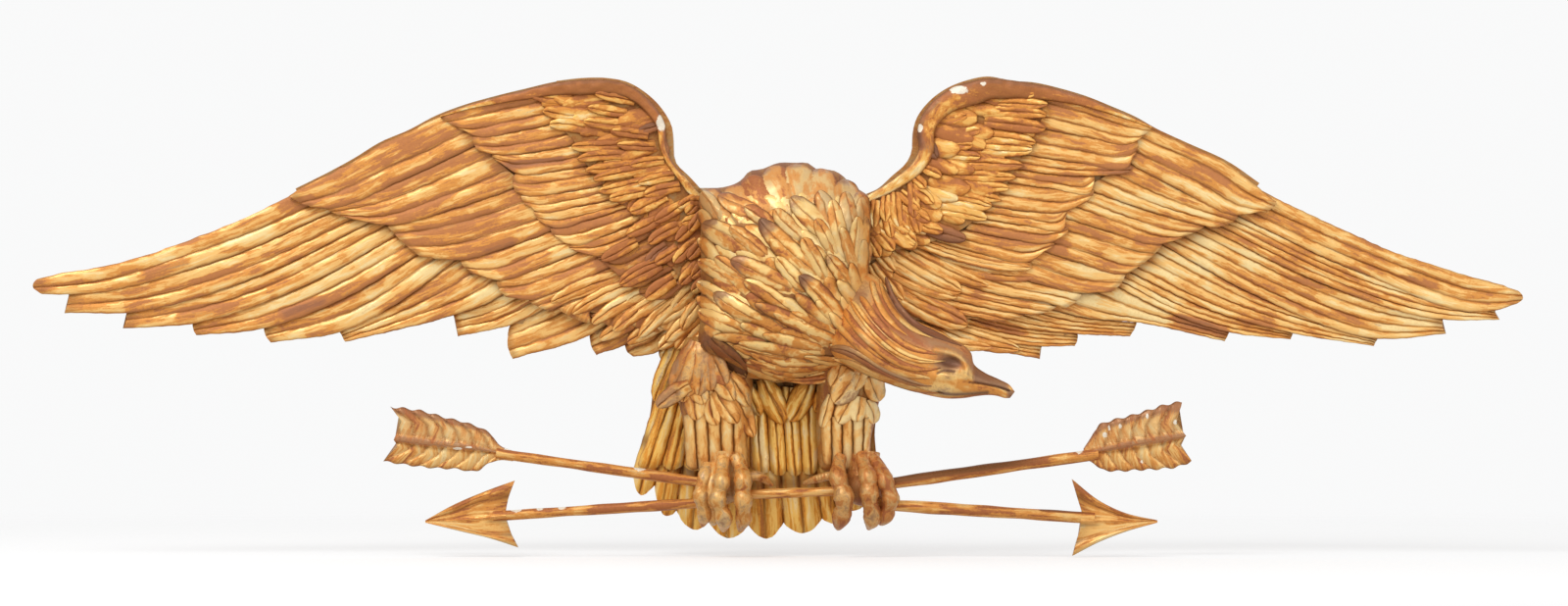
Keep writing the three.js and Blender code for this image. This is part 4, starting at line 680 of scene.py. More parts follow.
rightWing = {
    "flight": {
        "edgePx": [
            (1282, 192), (1302, 203), (1343, 222.7), (1378.6, 239), (1417, 256), (1455, 268.6),
            (1493, 281), (1531.6, 291.6), (1545, 296.5)],
        "rootsPx": [
            (1288, 196), (1268, 222), (1240, 236), (1192, 252), (1160, 280), (1146, 294), (1066, 312),
            (985, 318), (948, 327), (914, 338)],
        "notchesPx": [
            (1545, 296.5), (1522.7, 316.5), (1470, 326), (1404, 345.5), (1318, 340), (1254, 338.8),
            (1160, 329), (1100, 340.6), (1063.5, 353.4), (1008, 357)],
        "tipsPx": [
            (1544, 310), (1527, 326), (1473, 340.5), (1400, 352.5), (1316, 346), (1249, 348), (1153, 343),
            (1097, 352.6), (1061, 366)],
        "strips": [3, 4, 4, 4, 3, 3, 4, 4, 3],
        "bulges": [6, -1, -2, 0, 0, 0, 1, 1, -1], "bend": 0.04},
    "covert": {
        "edgePx": [(1160, 124), (1176.5, 134), (1207, 147), (1250, 167), (1280, 190), (1300, 206)],
        "rootsPx": [
            (1165, 128), (1160, 171), (1118, 196), (1082, 220), (1062, 255), (1015, 276), (975, 288),
            (938, 296), (918, 306)],
        "notchesPx": [
            (1300, 206), (1262, 220), (1228, 231), (1186, 249), (1148, 279), (1104, 299), (1078, 312),
            (1046, 321), (1008, 327)],
        "tipsPx": [
            (1282, 217), (1238, 233), (1193, 247), (1152, 278), (1133, 298), (1085, 315), (1054, 322),
            (1014, 329)],
        "strips": [3, 3, 3, 3, 2, 2, 2, 2],
        "bulges": [5, 4, 3, 3, 3, 3, 3, 3], "bend": 0.02},
    "median": {
        "edgePx": [
            (1022, 80.5), (1054, 86), (1080, 92), (1105, 99.5), (1130.6, 110), (1156, 121), (1175, 130)],
        "rootsPx": [
            (1026, 84), (1066, 131), (1056, 159), (1044, 173), (1036, 187), (1020, 211), (1008, 223),
            (996, 236), (962, 247), (932, 250)],
        "notchesPx": [
            (1175, 130), (1159, 144), (1152, 168), (1113, 180), (1114, 193), (1086, 216), (1086, 231),
            (1074, 247), (1050, 267), (1020, 276)],
        "tipsPx": [
            (1161, 142), (1154, 164), (1148, 178), (1114, 190), (1108, 206), (1085, 225), (1086, 240),
            (1068, 255), (1046, 276)],
        "strips": [3, 2, 2, 2, 2, 2, 2, 2, 3],
        "bulges": [2, 3, 3, 4, 4, 4, 4, 4, 4], "bend": 0.03, "look": {"tone": -0.04}},
    "shoulder": {
        "tipRowPx": [
            (1024, 84), (1066, 104), (1064, 131), (1052, 147), (1043, 168), (1030, 192), (1016, 209),
            (1000, 226), (974, 243), (945, 252), (912, 260)],
        # Tip, root and width of the leaves that can be told apart
        "leavesPx": [
            ((1011, 211), (948, 197), 20), ((1007, 223), (946, 212), 16), ((1044, 169), (960, 167), 15),
            ((1036, 181), (964, 176), 13), ((1029, 192), (968, 187), 13), ((1021, 204), (957, 191), 12),
            ((1053, 152), (1000, 149), 19), ((1056, 146), (1010, 139), 12),
            ((1066, 132), (1004, 124), 16), ((1067, 118), (1003, 115), 13),
            ((1068, 107), (1018, 105), 12), ((1054, 97), (1010, 96), 12), ((1000, 133), (968, 136), 12),
            ((992, 148), (962, 146), 12), ((1000, 160), (962, 157), 12), ((986, 118), (962, 124), 12),
            ((934, 249), (904, 226), 20), ((948, 226), (922, 208), 14), ((962, 236), (926, 222), 14),
            ((938, 214), (918, 196), 12), ((928, 236), (902, 216), 13), ((952, 208), (930, 190), 13),
            ((944, 192), (930, 178), 11), ((960, 180), (940, 170), 11), ((892, 232), (894, 204), 12),
            ((903, 226), (905, 198), 13), ((917, 231), (914, 196), 14), ((909, 243), (903, 214), 13),
            ((932, 222), (931, 184), 14), ((924, 240), (918, 214), 14), ((938, 238), (930, 208), 13),
            ((912, 256), (892, 234), 15), ((932, 252), (902, 234), 16), ((898, 262), (884, 240), 14)],
        "darkLeavesPx": [((985, 244), (935, 226), 17), ((956, 161), (941, 137), 15)]},
    "innerLeavesPx": [
        ((952, 330), (1040, 356), 20, -5.0), ((930, 338), (1012, 354), 15, -4.0),
        ((890, 318), (952, 349), 26, 0.0), ((905, 326), (975, 353), 24, 0.5),
        ((945, 262), (1056, 283), 17, 1.0), ((945, 248), (1052, 273), 16, 4.5),
        ((930, 255), (1008, 291), 16, 2.5), ((918, 297), (987, 331), 28, 2.0),
        ((912, 279), (977, 303), 16, 3.0), ((910, 259), (981, 297), 27, 3.5),
        ((893, 300), (930, 338), 24, 2.0), ((892, 268), (922, 306), 22, 3.0),
        ((890, 240), (914, 276), 20, 4.0)],
    "boardTopPx": [
        (884.5, 201), (898, 195), (914, 181), (930, 166), (936, 154), (937.5, 134), (940, 122),
        (953, 104), (968, 93), (988, 85), (1008, 81.5), (1026, 85), (1054, 87), (1080, 93), (1105, 100.5),
        (1131, 111), (1156, 122), (1175, 133), (1207, 148), (1250, 168), (1280, 189), (1302, 203),
        (1343, 223.5), (1379, 240), (1417, 257), (1455, 269.5), (1493, 282), (1526, 291)],
    "boardFootPx": (884.5, 346), "covertFootPx": (884.5, 326), "covertReachPx": 494,
    "chipsPx": [((978, 92.5), 11, 5), ((1003, 86.5), 4, 2.5), ((938.5, 131), 3.5, 5)],
    "rollPx": [
        (872, 208), (887, 198), (901, 190), (915, 180), (931.6, 164.6), (937, 153), (936, 134),
        (939, 121), (952, 103), (967, 92), (988, 84), (1008, 80.4), (1026, 82), (1054, 86), (1080, 92),
        (1105, 99.5), (1131, 110), (1156, 121), (1174, 129.5)],
    "rollWidthsPx": [8, 8, 8, 7, 7, 9, 16, 22, 27, 27, 24, 18, 9, 6, 5.5, 5.5, 5, 5, 5],
    "rollTones": [
        0.02, 0.1, 0.15, 0.12, 0.06, -0.14, -0.3, -0.08, -0.03, -0.04, -0.04, 0.0, 0.04, 0.05, 0.04, 0.04,
        0.04, 0.04, 0],
    "shoulderReachPx": 228, "shoulderFootPx": (884.6, 268), "innerTone": -0.04}


def spreadOut(values, count):
    return np.interp(np.linspace(0, 1, count), np.linspace(0, 1, len(values)), values)[:, None]


def slabBehind(carving, upperPx, lowerPx, back, fronts):
    # A plain board between two pixel lines behind its feathers, darkened with painted shade as in the
    # carving's shadow
    count = 70
    px, py = between(smoothLine(upperPx, count), smoothLine(lowerPx, count), steps(9).T)
    front = spreadOut(fronts, count)
    under = wingPlace(px[:, ::-1], py[:, ::-1], np.full(px.shape, back))
    loops = beside(wingPlace(px, py, front + 0 * px), under)
    along = np.linspace(0, 0.6, count)[:, None]
    addLoops(carving, loops, np.stack(np.broadcast_arrays(along, loops[..., 2], 5.0), axis=-1), 0.75)


def edgeWall(carving, linePx, outward, board):
    # A narrow wall along the leading edge, which closes the space up to the next board
    line = smoothLine(linePx, 60)
    inner = line - sideOf(np.gradient(line, axis=0)) * outward * 6
    slabBehind(carving, line, inner, board["back"], (board["next"], board["next"]))


def shoulderLeaves(carving, shoulder, outward, regionPx):
    # Listed leaves lie over rows of smaller filling ones, which stay inside the shoulder's outline
    look = shoulderSet["look"]
    length, width = shoulderSet["leafPx"]
    tips = smoothLine(shoulder["tipRowPx"], shoulderSet["perRow"])
    step = np.array([-outward * shoulderSet["stepPx"], -1])
    for row in range(shoulderSet["rows"] - 1, -1, -1):
        depth = np.interp(row, [0, 2, 5], shoulderSet["depths"]) - 1.2
        filling = dict(look, rows=14, shape=(2.6, 0.8), strips=1, root=depth - 2.2, tip=depth + 0.5,
                       belly=0.9)
        for k, tip in enumerate(tips):
            down = k / (len(tips) - 1)
            at = tip + step * row * (1 - 0.3 * down) + rng.uniform(-4, 4, 2) + (0, 5 * (row % 2))
            angle = math.radians(3 + 38 * down + rng.uniform(-9, 9))
            run = np.array([-outward * math.cos(angle), -math.sin(angle)])
            run = run * length * rng.uniform(0.7, 1.25) * (1 - 0.3 * down)
            wide, bend = width * rng.uniform(0.75, 1.2), rng.uniform(-0.06, 0.06)
            lines = leafLines(at + run, at, wide, bend, filling)
            if all(insidePolygon(*line[k], regionPx) for line in lines for k in (0, 5, 9, 13)):
                ribbon(carving, *lines, wingPlace, filling)
    front = shoulder["tipRowPx"][0][0]
    for tip, root, wide in sorted(shoulder["leavesPx"], key=lambda entry: -abs(entry[0][0] - front)):
        depth = shoulderSet["listedDepth"] + 4.0 * min(abs(tip[0] - front) / 60, 1)
        listed = dict(look, root=depth - 2.6, tip=depth + 0.7, groove=1.0, strips=2 if wide < 18 else 3)
        leaf(carving, root, tip, wide, rng.uniform(-0.04, 0.04), listed, place=wingPlace)
    # The dark leaves: dark brown, with painted shade where they lie in a recess
    dark = {**look, **shoulderSet["dark"]}
    for tip, root, wide in shoulder["darkLeavesPx"]:
        leaf(carving, root, tip, wide, 0.03, dark, place=wingPlace)


def leadingRoll(carving, wing, outward):
    # A rounded band along the leading edge: half a turn of an ellipse carried along the edge line
    rows = 140
    line = smoothLine(wing["rollPx"], rows)
    side = sideOf(np.gradient(line, axis=0)) * outward
    around = np.linspace(0, math.pi, 11)[None]
    across = (1 - np.cos(around)) / 2
    taper = np.sin(math.pi * np.linspace(0.5, 0.99, rows))[:, None] ** 0.3
    width, tone = (smoothLine([(0, value) for value in wing[key]], rows)[:, 1:]
                   for key in ("rollWidthsPx", "rollTones"))
    a = across * width * taper
    px, py = line[:, None, 0] + side[:, None, 0] * a, line[:, None, 1] + side[:, None, 1] * a
    level = spreadOut(shoulderSet["rollDepths"], rows)
    rise = (2.0 + 0.12 * width) * np.sin(around) ** 0.6 * taper
    height = level + rise + 1.0 * handCut(px, py, 1.3) + 0.7 * handCut(px, py, 0.5)
    sides = [-1, 0]
    under = wingPlace(px[:, sides], py[:, sides], np.broadcast_to(level - 8, (rows, 2)))
    grain = np.stack(np.broadcast_arrays(np.arange(rows)[:, None] * 0.005, a * 0.0016, 3.3), axis=-1)
    groove = (0.85 * (1 - ease(across / 0.1)) + 0.8 * ease((across - 0.84) / 0.12)
              + np.clip(-tone - 0.15, 0, 1) * 2.5)
    dust = 0.5 * unit(np.cos(around))
    rub = (0.95 - 0.95 * ease((across - 0.12) / 0.3)) * (tone < 0.05)
    chip = sum(nearPoint(px, py, *spot) for spot in wing["chipsPx"])
    marks = (unit(groove), dust, rub, chip, tone + 0.08 * ease((across - 0.2) / 0.3))
    marks = [beside(mark + 0 * a, np.full((rows, 2), below)) for mark, below in zip(marks, (1, 0, 0, 0, 0))]
    addLoops(carving, beside(wingPlace(px, py, height), under), beside(grain, grain[:, sides]), *marks)


def makeWing(side, wing):
    outward = 1 if side == "right" else -1
    boardTop = [(x, y + 3) for x, y in wing["boardTopPx"]]
    covertTop, shoulderTop = ([(x, y) for x, y in boardTop if abs(x - photo["middlePx"]) < wing[key]]
                              for key in ("covertReachPx", "shoulderReachPx"))
    flightFeet, covertFeet = ([(x, y - rise) for x, y in wing[key]["notchesPx"][:0:-1]]
                              for key, rise in (("flight", 3), ("covert", 4)))
    carving = newCarving()
    featherRow(carving, wing["flight"], rowLooks["flight"])
    board = boardSet["flight"]
    slabBehind(carving, boardTop, [wing["boardFootPx"]] + flightFeet, board["back"], board["fronts"])
    edgeWall(carving, covertTop, outward, board)
    finishCarving(carving, f"{side}_flight_feathers", wingGold[side]["flight"], f"{side}_flight_board")

    carving = newCarving()
    featherRow(carving, wing["covert"], rowLooks["covert"])
    featherRow(carving, wing["median"], rowLooks["median"])
    board = boardSet["covert"]
    slabBehind(carving, covertTop, [wing["covertFootPx"]] + covertFeet, board["back"], board["fronts"])
    edgeWall(carving, shoulderTop, outward, board)
    for root, tip, width, lift in wing["innerLeavesPx"]:
        height = board["leafDepth"] + lift
        look = dict(rowLooks["inner"], root=height, tip=height, strips=2 if width < 20 else 3,
                    tone=wing["innerTone"])
        leaf(carving, root, tip, width, 0.03, look, place=wingPlace)
    finishCarving(carving, f"{side}_covert_feathers", wingGold[side]["covert"], f"{side}_covert_board")

    carving = newCarving()
    tipRow, (footX, footY) = wing["shoulder"]["tipRowPx"], wing["shoulderFootPx"]
    underBody = footX - shoulderSet["bodyReachPx"] * outward
    region = shoulderTop + tipRow + [(footX, footY), (underBody, footY), (underBody, shoulderSet["neckPy"])]
    shoulderLeaves(carving, wing["shoulder"], outward, region)
    tipFeet = [(x - 4 * outward, y - 3) for x, y in tipRow[::-1]]
    board = boardSet["shoulder"]
    slabBehind(carving, shoulderTop, [(footX, footY)] + tipFeet, board["back"], board["fronts"])
    leadingRoll(carving, wing, outward)
    finishCarving(carving, f"{side}_shoulder_feathers", wingGold[side]["shoulder"], f"{side}_shoulder_board")


makeWing("left", leftWing)
makeWing("right", rightWing)
print("wings carved")


# Domed blocks

def closedLine(piece, count):
    outline = list(piece["outlinePx"])
    return smoothLine(outline + outline[:1], count)


def domeDepth(piece, rim, crown):
    # Depth of a dome over an outline: rim + (crown - rim) * sqrt(1 - share^2), where share is how far
    # from the centre to the outline a pixel lies along its own bearing
    centreX, centreY = piece["centrePx"]
    offset = closedLine(piece, 400) - np.asarray(piece["centrePx"], float)
    bearing = np.arctan2(offset[:, 1], offset[:, 0])
    order = np.argsort(bearing)
    bearings, radii = bearing[order], np.linalg.norm(offset, axis=1)[order]

    def depth(px, py):
        dx, dy = px - centreX, py - centreY
        edge = np.interp(np.arctan2(dy, dx), bearings, radii, period=2 * math.pi)
        return rim + (crown - rim) * np.sqrt(1 - unit(np.hypot(dx, dy) / edge) ** 2)

    return depth


def domeBlock(carving, piece, back, depthAt, groove, sink, shares=None):
    # A block with a flat back, straight walls and a domed front made of shrinking copies of its outline
    closed = closedLine(piece, 121)[:-1]
    centre = np.asarray(piece["centrePx"], float)
    shares = np.sin(np.linspace(math.pi / 2, 0.02, 26)) if shares is None else shares
    px, py = (centre + (closed - centre) * np.array(shares)[:, None, None]).transpose(2, 0, 1)
    front = flatPlace(px, py, depthAt(px, py) - sink)
    px, py = (centre + (closed - centre) * np.array([0.05, 0.5, 1.0])[:, None, None]).transpose(2, 0, 1)
    rear = flatPlace(px, py, np.full(px.shape, back))
    loops = np.concatenate([rear, front])
    grain = np.stack(np.broadcast_arrays(loops[..., 2], loops[..., 0], 2.0), axis=-1)
    # The groove mark is 0.9 on the back, and on the front the given share, painted shade in the gaps between
    # the leaves on it
    bare = np.where(np.arange(len(loops)) < len(rear), 0.9, groove)
    addLoops(carving, loops, grain, bare[:, None])


body = {
    "outlinePx": [
        (715, 192), (722, 192), (737, 191.5), (756, 184.5), (765, 175), (777, 173), (794.5, 166.5),
        (810, 166.5), (827, 168), (831, 172), (851, 174.5), (859, 179), (866, 186), (875, 193),
        (884.6, 199), (884.6, 230), (884.6, 262), (884.6, 295), (884.6, 328), (884, 364), (860, 372),
        (825, 382), (790, 390), (765, 380), (740, 368), (715.4, 356), (715.4, 320), (715.4, 290),
        (715.4, 260), (715.4, 225)],
    "centrePx": (792, 286),
    # Tip, root, width, how dusty and how rubbed each leaf is
    "leavesPx": [
        ((733, 200), (780, 222), 20, 0.3, 1.0), ((717, 228), (768, 254), 26, 0.1, 1.3),
        ((775, 224), (834, 280), 23, 0.0, 1.7), ((807, 202), (852, 246), 24, 0.1, 0.9),
        ((746, 265), (808, 294), 22, 0.1, 1.25), ((729, 298), (778, 328), 19, 0.0, 1.2),
        ((815, 281), (860, 334), 20, 0.0, 1.6), ((770, 310), (846, 352), 15, 0.0, 0.8),
        ((712, 266), (750, 290), 17, 0.1, 0.6), ((844, 261), (872, 298), 17, 0.0, 0.9),
        ((848, 204), (862, 264), 19, 0.2, 0.1), ((875, 221), (869, 274), 17, 0.1, 0.4),
        ((884, 222), (880, 268), 10, 0.1, 0.9), ((711, 288), (748, 310), 16, 0.0, 0.3),
        ((712, 317), (762, 340), 19, 0.0, 0.2), ((728, 343), (796, 357), 12, 0.0, 0.4),
        ((754, 349), (832, 365), 13, 0.0, 0.2), ((778, 341), (838, 355), 14, 0.0, 0.0),
        ((786, 244), (815, 274), 15, 0.0, 0.3), ((819, 243), (842, 284), 18, 0.1, 0.2),
        ((833, 306), (862, 334), 13, 0.0, 0.2), ((789, 319), (850, 346), 14, 0.0, 0.5),
        ((812, 300), (848, 330), 14, 0.0, 0.1), ((760, 286), (806, 316), 17, 0.0, 0.2),
        ((745, 232), (782, 262), 18, 0.2, 0.4), ((730, 262), (764, 286), 16, 0.1, 0.1),
        ((792, 262), (824, 296), 17, 0.0, 0.2), ((854, 286), (880, 322), 15, 0.0, 0.3),
        ((858, 232), (874, 284), 15, 0.2, 0.3), ((832, 224), (852, 262), 16, 0.2, 0.2),
        ((716, 318), (752, 338), 14, 0.0, 0.2), ((846, 318), (874, 346), 12, 0.0, 0.3),
        ((756, 330), (800, 348), 13, 0.0, 0.1), ((760, 212), (794, 238), 17, 0.4, 0.2),
        ((716, 196), (736, 226), 18, 0.6, 0.2), ((714, 214), (730, 246), 15, 0.3, 0.3),
        ((712, 243), (734, 270), 15, 0.1, 0.4), ((790, 214), (818, 244), 18, 0.3, 0.2),
        ((711, 303), (738, 322), 14, 0.0, 0.2), ((882, 244), (878, 300), 14, 0.1, 0.2),
        ((868, 268), (884, 316), 14, 0.1, 0.3), ((878, 202), (880, 246), 16, 0.6, 0.3),
        ((862, 196), (872, 244), 18, 0.6, 0.2), ((834, 196), (848, 236), 20, 0.6, 0.1)],
    "humpPx": [
        ((718, 196), (742, 232), 30), ((745, 190), (764, 228), 30), ((764, 180), (786, 222), 34),
        ((786, 171), (806, 222), 38), ((812, 168), (822, 220), 42), ((838, 172), (840, 224), 36),
        ((860, 184), (862, 232), 32), ((876, 196), (874, 240), 22)],
    # A feather in the breast's shadow, laid dark brown as painted shade
    "darkLeafPx": ((762, 384), (722, 347), 31),
    "breastPx": [
        ((748, 352), (812, 366), 13, -0.03), ((766, 360), (838, 372), 12, -0.09),
        ((764, 366), (858, 370), 12, -0.12), ((776, 376), (872, 366), 12, -0.14),
        ((820, 363), (884, 366), 11, -0.06), ((846, 352), (884, 358), 10, 0.0),
        ((757, 371), (800, 385), 12, -0.05), ((800, 386), (878, 371), 9, -0.1)]}
bodySet = {"back": 0.4, "rim": 52.0, "crown": 109.0, "fillingFromPx": (722, 200), "fillingStepPx": (19, 17)}
bodyLook = dict(rows=26, shape=(3.0, 0.8), root=-2.6, tip=4.2, slope=0.7, drop=5.6, tilt=0.8, groove=0.8,
                crown=0.3, belly=2.4, rootDark=0.3, edge=2.0, rough=0.4, vein=0.6, lined=1.0)
bodyLooks = {
    "filling": dict(rows=14, shape=(2.2, 0.7), root=-2.4, tip=0.2, tilt=0.6, groove=0.8, crown=0.3,
                    strips=1, belly=1.0, rootDark=0.3, rub=0.1, tone=0.02, lined=0.25),
    "hump": dict(bodyLook, rows=20, shape=(3.2, 0.9), dust=0.5, groove=0.0, belly=1.4, strips=1, tip=1.2,
                 drop=9.0, lined=0.0, edge=0.3, rub=1.0, rubFrom=0.62, rough=1.3, tone=-0.02),
    "dark": dict(bodyLook, shape=(3.0, 0.7), root=1.0, tip=2.6, rub=0.5, rubFrom=-0.4, stainAndShade=0.55,
                 tone=-0.1, groove=1.6, strips=4, edge=1.6, lined=1.4, rough=1.2),
    "breast": dict(bodyLook, rows=24, shape=(1.9, 0.7), tip=2.2, groove=0.9, belly=1.0),
}


def bearingAt(px, py, leaves):
    # The heading of a filling leaf: the listed ones near it, weighed by the inverse cube of distance
    tips, roots = (np.array([entry[k] for entry in leaves], float) for k in (0, 1))
    weight = 1 / (np.sum((tips + np.array([15, 12]) - [px, py]) ** 2, axis=1) + 40) ** 1.5
    run = ((tips - roots) * weight[:, None]).sum(axis=0) / weight.sum()
    return run / np.linalg.norm(run)


def carveBody():
    carving = newCarving()
    depthAt = domeDepth(body, bodySet["rim"], bodySet["crown"])
    domeBlock(carving, body, bodySet["back"], depthAt, 0.7, 1.0)
    (fromX, fromY), (stepX, stepY) = bodySet["fillingFromPx"], bodySet["fillingStepPx"]
    for row in range(11):
        for column in range(9):
            px = fromX + stepX * column + (9 if row % 2 else 0) + rng.uniform(-3, 3)
            py = fromY + stepY * row + rng.uniform(-3, 3)
            if not insidePolygon(px, py, body["outlinePx"]):
                continue
            root = np.array([px, py]) - bearingAt(px, py, body["leavesPx"]) * rng.uniform(32, 44)
            if insidePolygon(*root, body["outlinePx"]):
                width, bend = rng.uniform(16, 21), rng.uniform(-0.06, 0.06)
                leaf(carving, root, (px, py), width, bend, bodyLooks["filling"], depthAt)
    for tip, root, width in body["humpPx"]:
        bend = rng.uniform(-0.05, 0.05)
        leaf(carving, root, tip, width, bend, bodyLooks["hump"], depthAt)
    for tip, root, width, dust, rub in sorted(body["leavesPx"], key=lambda entry: sum(entry[1])):
        bend = rng.uniform(-0.04, 0.06)
        look = dict(bodyLook, dust=dust, rub=rub, shade=rng.uniform(0, 9), strips=1 if width < 16 else 2)
        leaf(carving, root, tip, width, bend, look, depthAt)
    # The feather under the breast, darkened as painted shade
    tip, root, width = body["darkLeafPx"]
    leaf(carving, root, tip, width, 0.06, bodyLooks["dark"], depthAt)
    for tip, root, width, bend in body["breastPx"]:
        leaf(carving, root, tip, width, bend, bodyLooks["breast"], depthAt)
    finishCarving(carving, "carved_body", bodyGold, "body_block")


carveBody()

# Neck and head
neck = {
    # Nape pixel, throat pixel, then the middle's depth and the half thickness in mm
    "sectionsPx": [
        (880, 276, 842, 322, 50, 18), (896, 285, 842, 344, 66, 30), (909, 305, 853, 365, 84, 35),
        (918, 317, 872, 377, 94, 32), (931, 329, 894, 385.5, 101, 28.5),
        (947, 337, 921, 394.5, 107, 25.5), (965, 344, 944, 401.5, 113, 22),
        (979, 350, 965, 405, 116.5, 19), (988, 359, 981, 404.5, 119, 15.5),
        (991.5, 371, 994, 402.5, 119, 11), (1002, 379, 1005, 401.5, 119, 8.4),
        (1017, 386, 1015, 402.5, 119, 5.7), (1027, 391.5, 1022, 404.5, 119, 3.8),
        (1032, 398, 1027, 404.5, 119, 2.2)],
    # Locks of the hackle from the chest to the cheek: pixel and width of each point, then how rubbed and how
    # darkened each is
    "locksPx": [
        (
            [
                (903, 282, 4), (909, 301, 6), (919, 317, 7), (934, 331.5, 7), (951, 340, 7),
                (967, 347, 6), (981, 353, 4)],
            1.3, 0.45),
        (
            [
                (897, 284, 4), (902, 303, 5), (910, 317, 6), (922, 329.5, 5.5), (937, 339, 5),
                (952, 345, 3)],
            0.3, 0.1),
        ([(888, 286, 7), (894, 306, 7), (902, 321, 7), (913, 333, 6), (926, 343, 4)], 0.5, 0.0),
        (
            [
                (877, 302, 8), (896, 329, 8), (910, 342.5, 8), (926, 353, 7), (945, 358.5, 6),
                (962, 360.5, 4)],
            0.15, 0.0),
        (
            [
                (868, 307, 8), (887, 333, 9), (900, 346.5, 9.5), (915, 358, 9), (933, 365.5, 7.5),
                (950, 367.5, 6), (962, 367, 4)],
            0.1, 0.0),
        (
            [
                (858, 313, 8), (878, 340, 8.5), (892, 353.5, 9), (907, 364.5, 9), (925, 373, 8),
                (944, 376, 7), (957, 374, 5)],
            0.35, 0.0),
        (
            [
                (850, 328, 8), (875, 353, 8), (890, 365, 8.5), (907, 375, 8), (926, 381.5, 7.5),
                (944, 384, 6), (955, 388, 4)],
            0.4, 0.05),
        (
            [
                (844, 354.5, 5), (860, 356, 10), (877, 364, 10), (895, 375, 9), (914, 384, 8),
                (934, 390.5, 7), (952, 393, 5)],
            0.8, 0.1),
        (
            [
                (850, 366, 5), (868, 370, 7), (886, 379, 8), (906, 387, 7), (926, 394, 6),
                (944, 398.5, 5), (960, 400, 3)],
            0.3, 0.1)],
    "lockLook": {
        "root": 0.8, "tip": 0.2, "drop": 4.5, "tilt": 0.0, "groove": 0.8, "crown": 0.5, "belly": 1.3,
        "edge": 1.5, "rubFrom": -0.4, "rootDark": 0.2, "droop": 1.0, "rough": 0.35, "lined": 0.8,
        "unsteady": 0.12},
    # Features of the head: lines with a width, then spots with half a width and half a height
    "browPx": ([(952, 356), (968, 359.5), (978, 365), (983, 373.5), (982.5, 383)], 3.2),
    "lidPx": ([(954, 379.5), (958, 377.6), (965, 377), (971, 378)], 1.2),
    "mouthPx": ([(986, 388.5), (992, 389), (1003, 391), (1015, 393.4), (1026, 397)], 1.1),
    "chinPx": ([(955, 399), (964, 400.6), (983.8, 400.4), (1004, 399)], 2.1),
    "hollowPx": ((967, 369), 12.0, 6.2), "eyePx": ((964, 382), 5.0, 3.2),
    "cheekPx": ((951, 383), 5.5, 4.5), "chestPx": ((878, 300), 20, 18), "beakPx": 988, "stepPx": 1010,
    "hookPx": 1022}


def neckSections(rows):
    sections = smoothLine(neck["sectionsPx"], rows)
    return sections, (sections[:, 0:2] + sections[:, 2:4]) / 2, (sections[:, 0:2] - sections[:, 2:4]) / 2


def neckDepth(px, py):
    # Depth of the smooth neck: the nearest section's line gives depth + half thickness * sqrt(1 - across^2)
    sections, middle, half = neckSections(160)
    offset = np.stack(np.broadcast_arrays(px, py), axis=-1)[..., None, :] - middle
    reach = np.linalg.norm(half, axis=1)
    across = (offset * half).sum(axis=-1) / reach**2
    away = np.abs(offset[..., 0] * half[:, 1] - offset[..., 1] * half[:, 0]) / reach
    nearest = (away + 100 * np.clip(np.abs(across) - 1.1, 0, None)).argmin(axis=-1)
    share = np.take_along_axis(across, nearest[..., None], axis=-1)[..., 0]
    return sections[nearest, 4] + sections[nearest, 5] * np.sqrt(np.clip(1 - share**2, 0.02, 1))


def lockLines(pointsPx, rows):
    # A lock: half widths across its line, closed round at the head and drawn out at the end
    line = smoothLine(pointsPx, rows)
    s = steps(rows)
    across = sideOf(np.gradient(line[:, :2], axis=0))
    close = np.sqrt(np.clip(1 - unit(1 - s / 0.09) ** 2, 0.01, 1)) * (1 - 0.75 * ease((s - 0.72) / 0.28))
    half = across * line[:, 2:3] / 2 * close
    return line[:, :2] - half, line[:, :2] + half


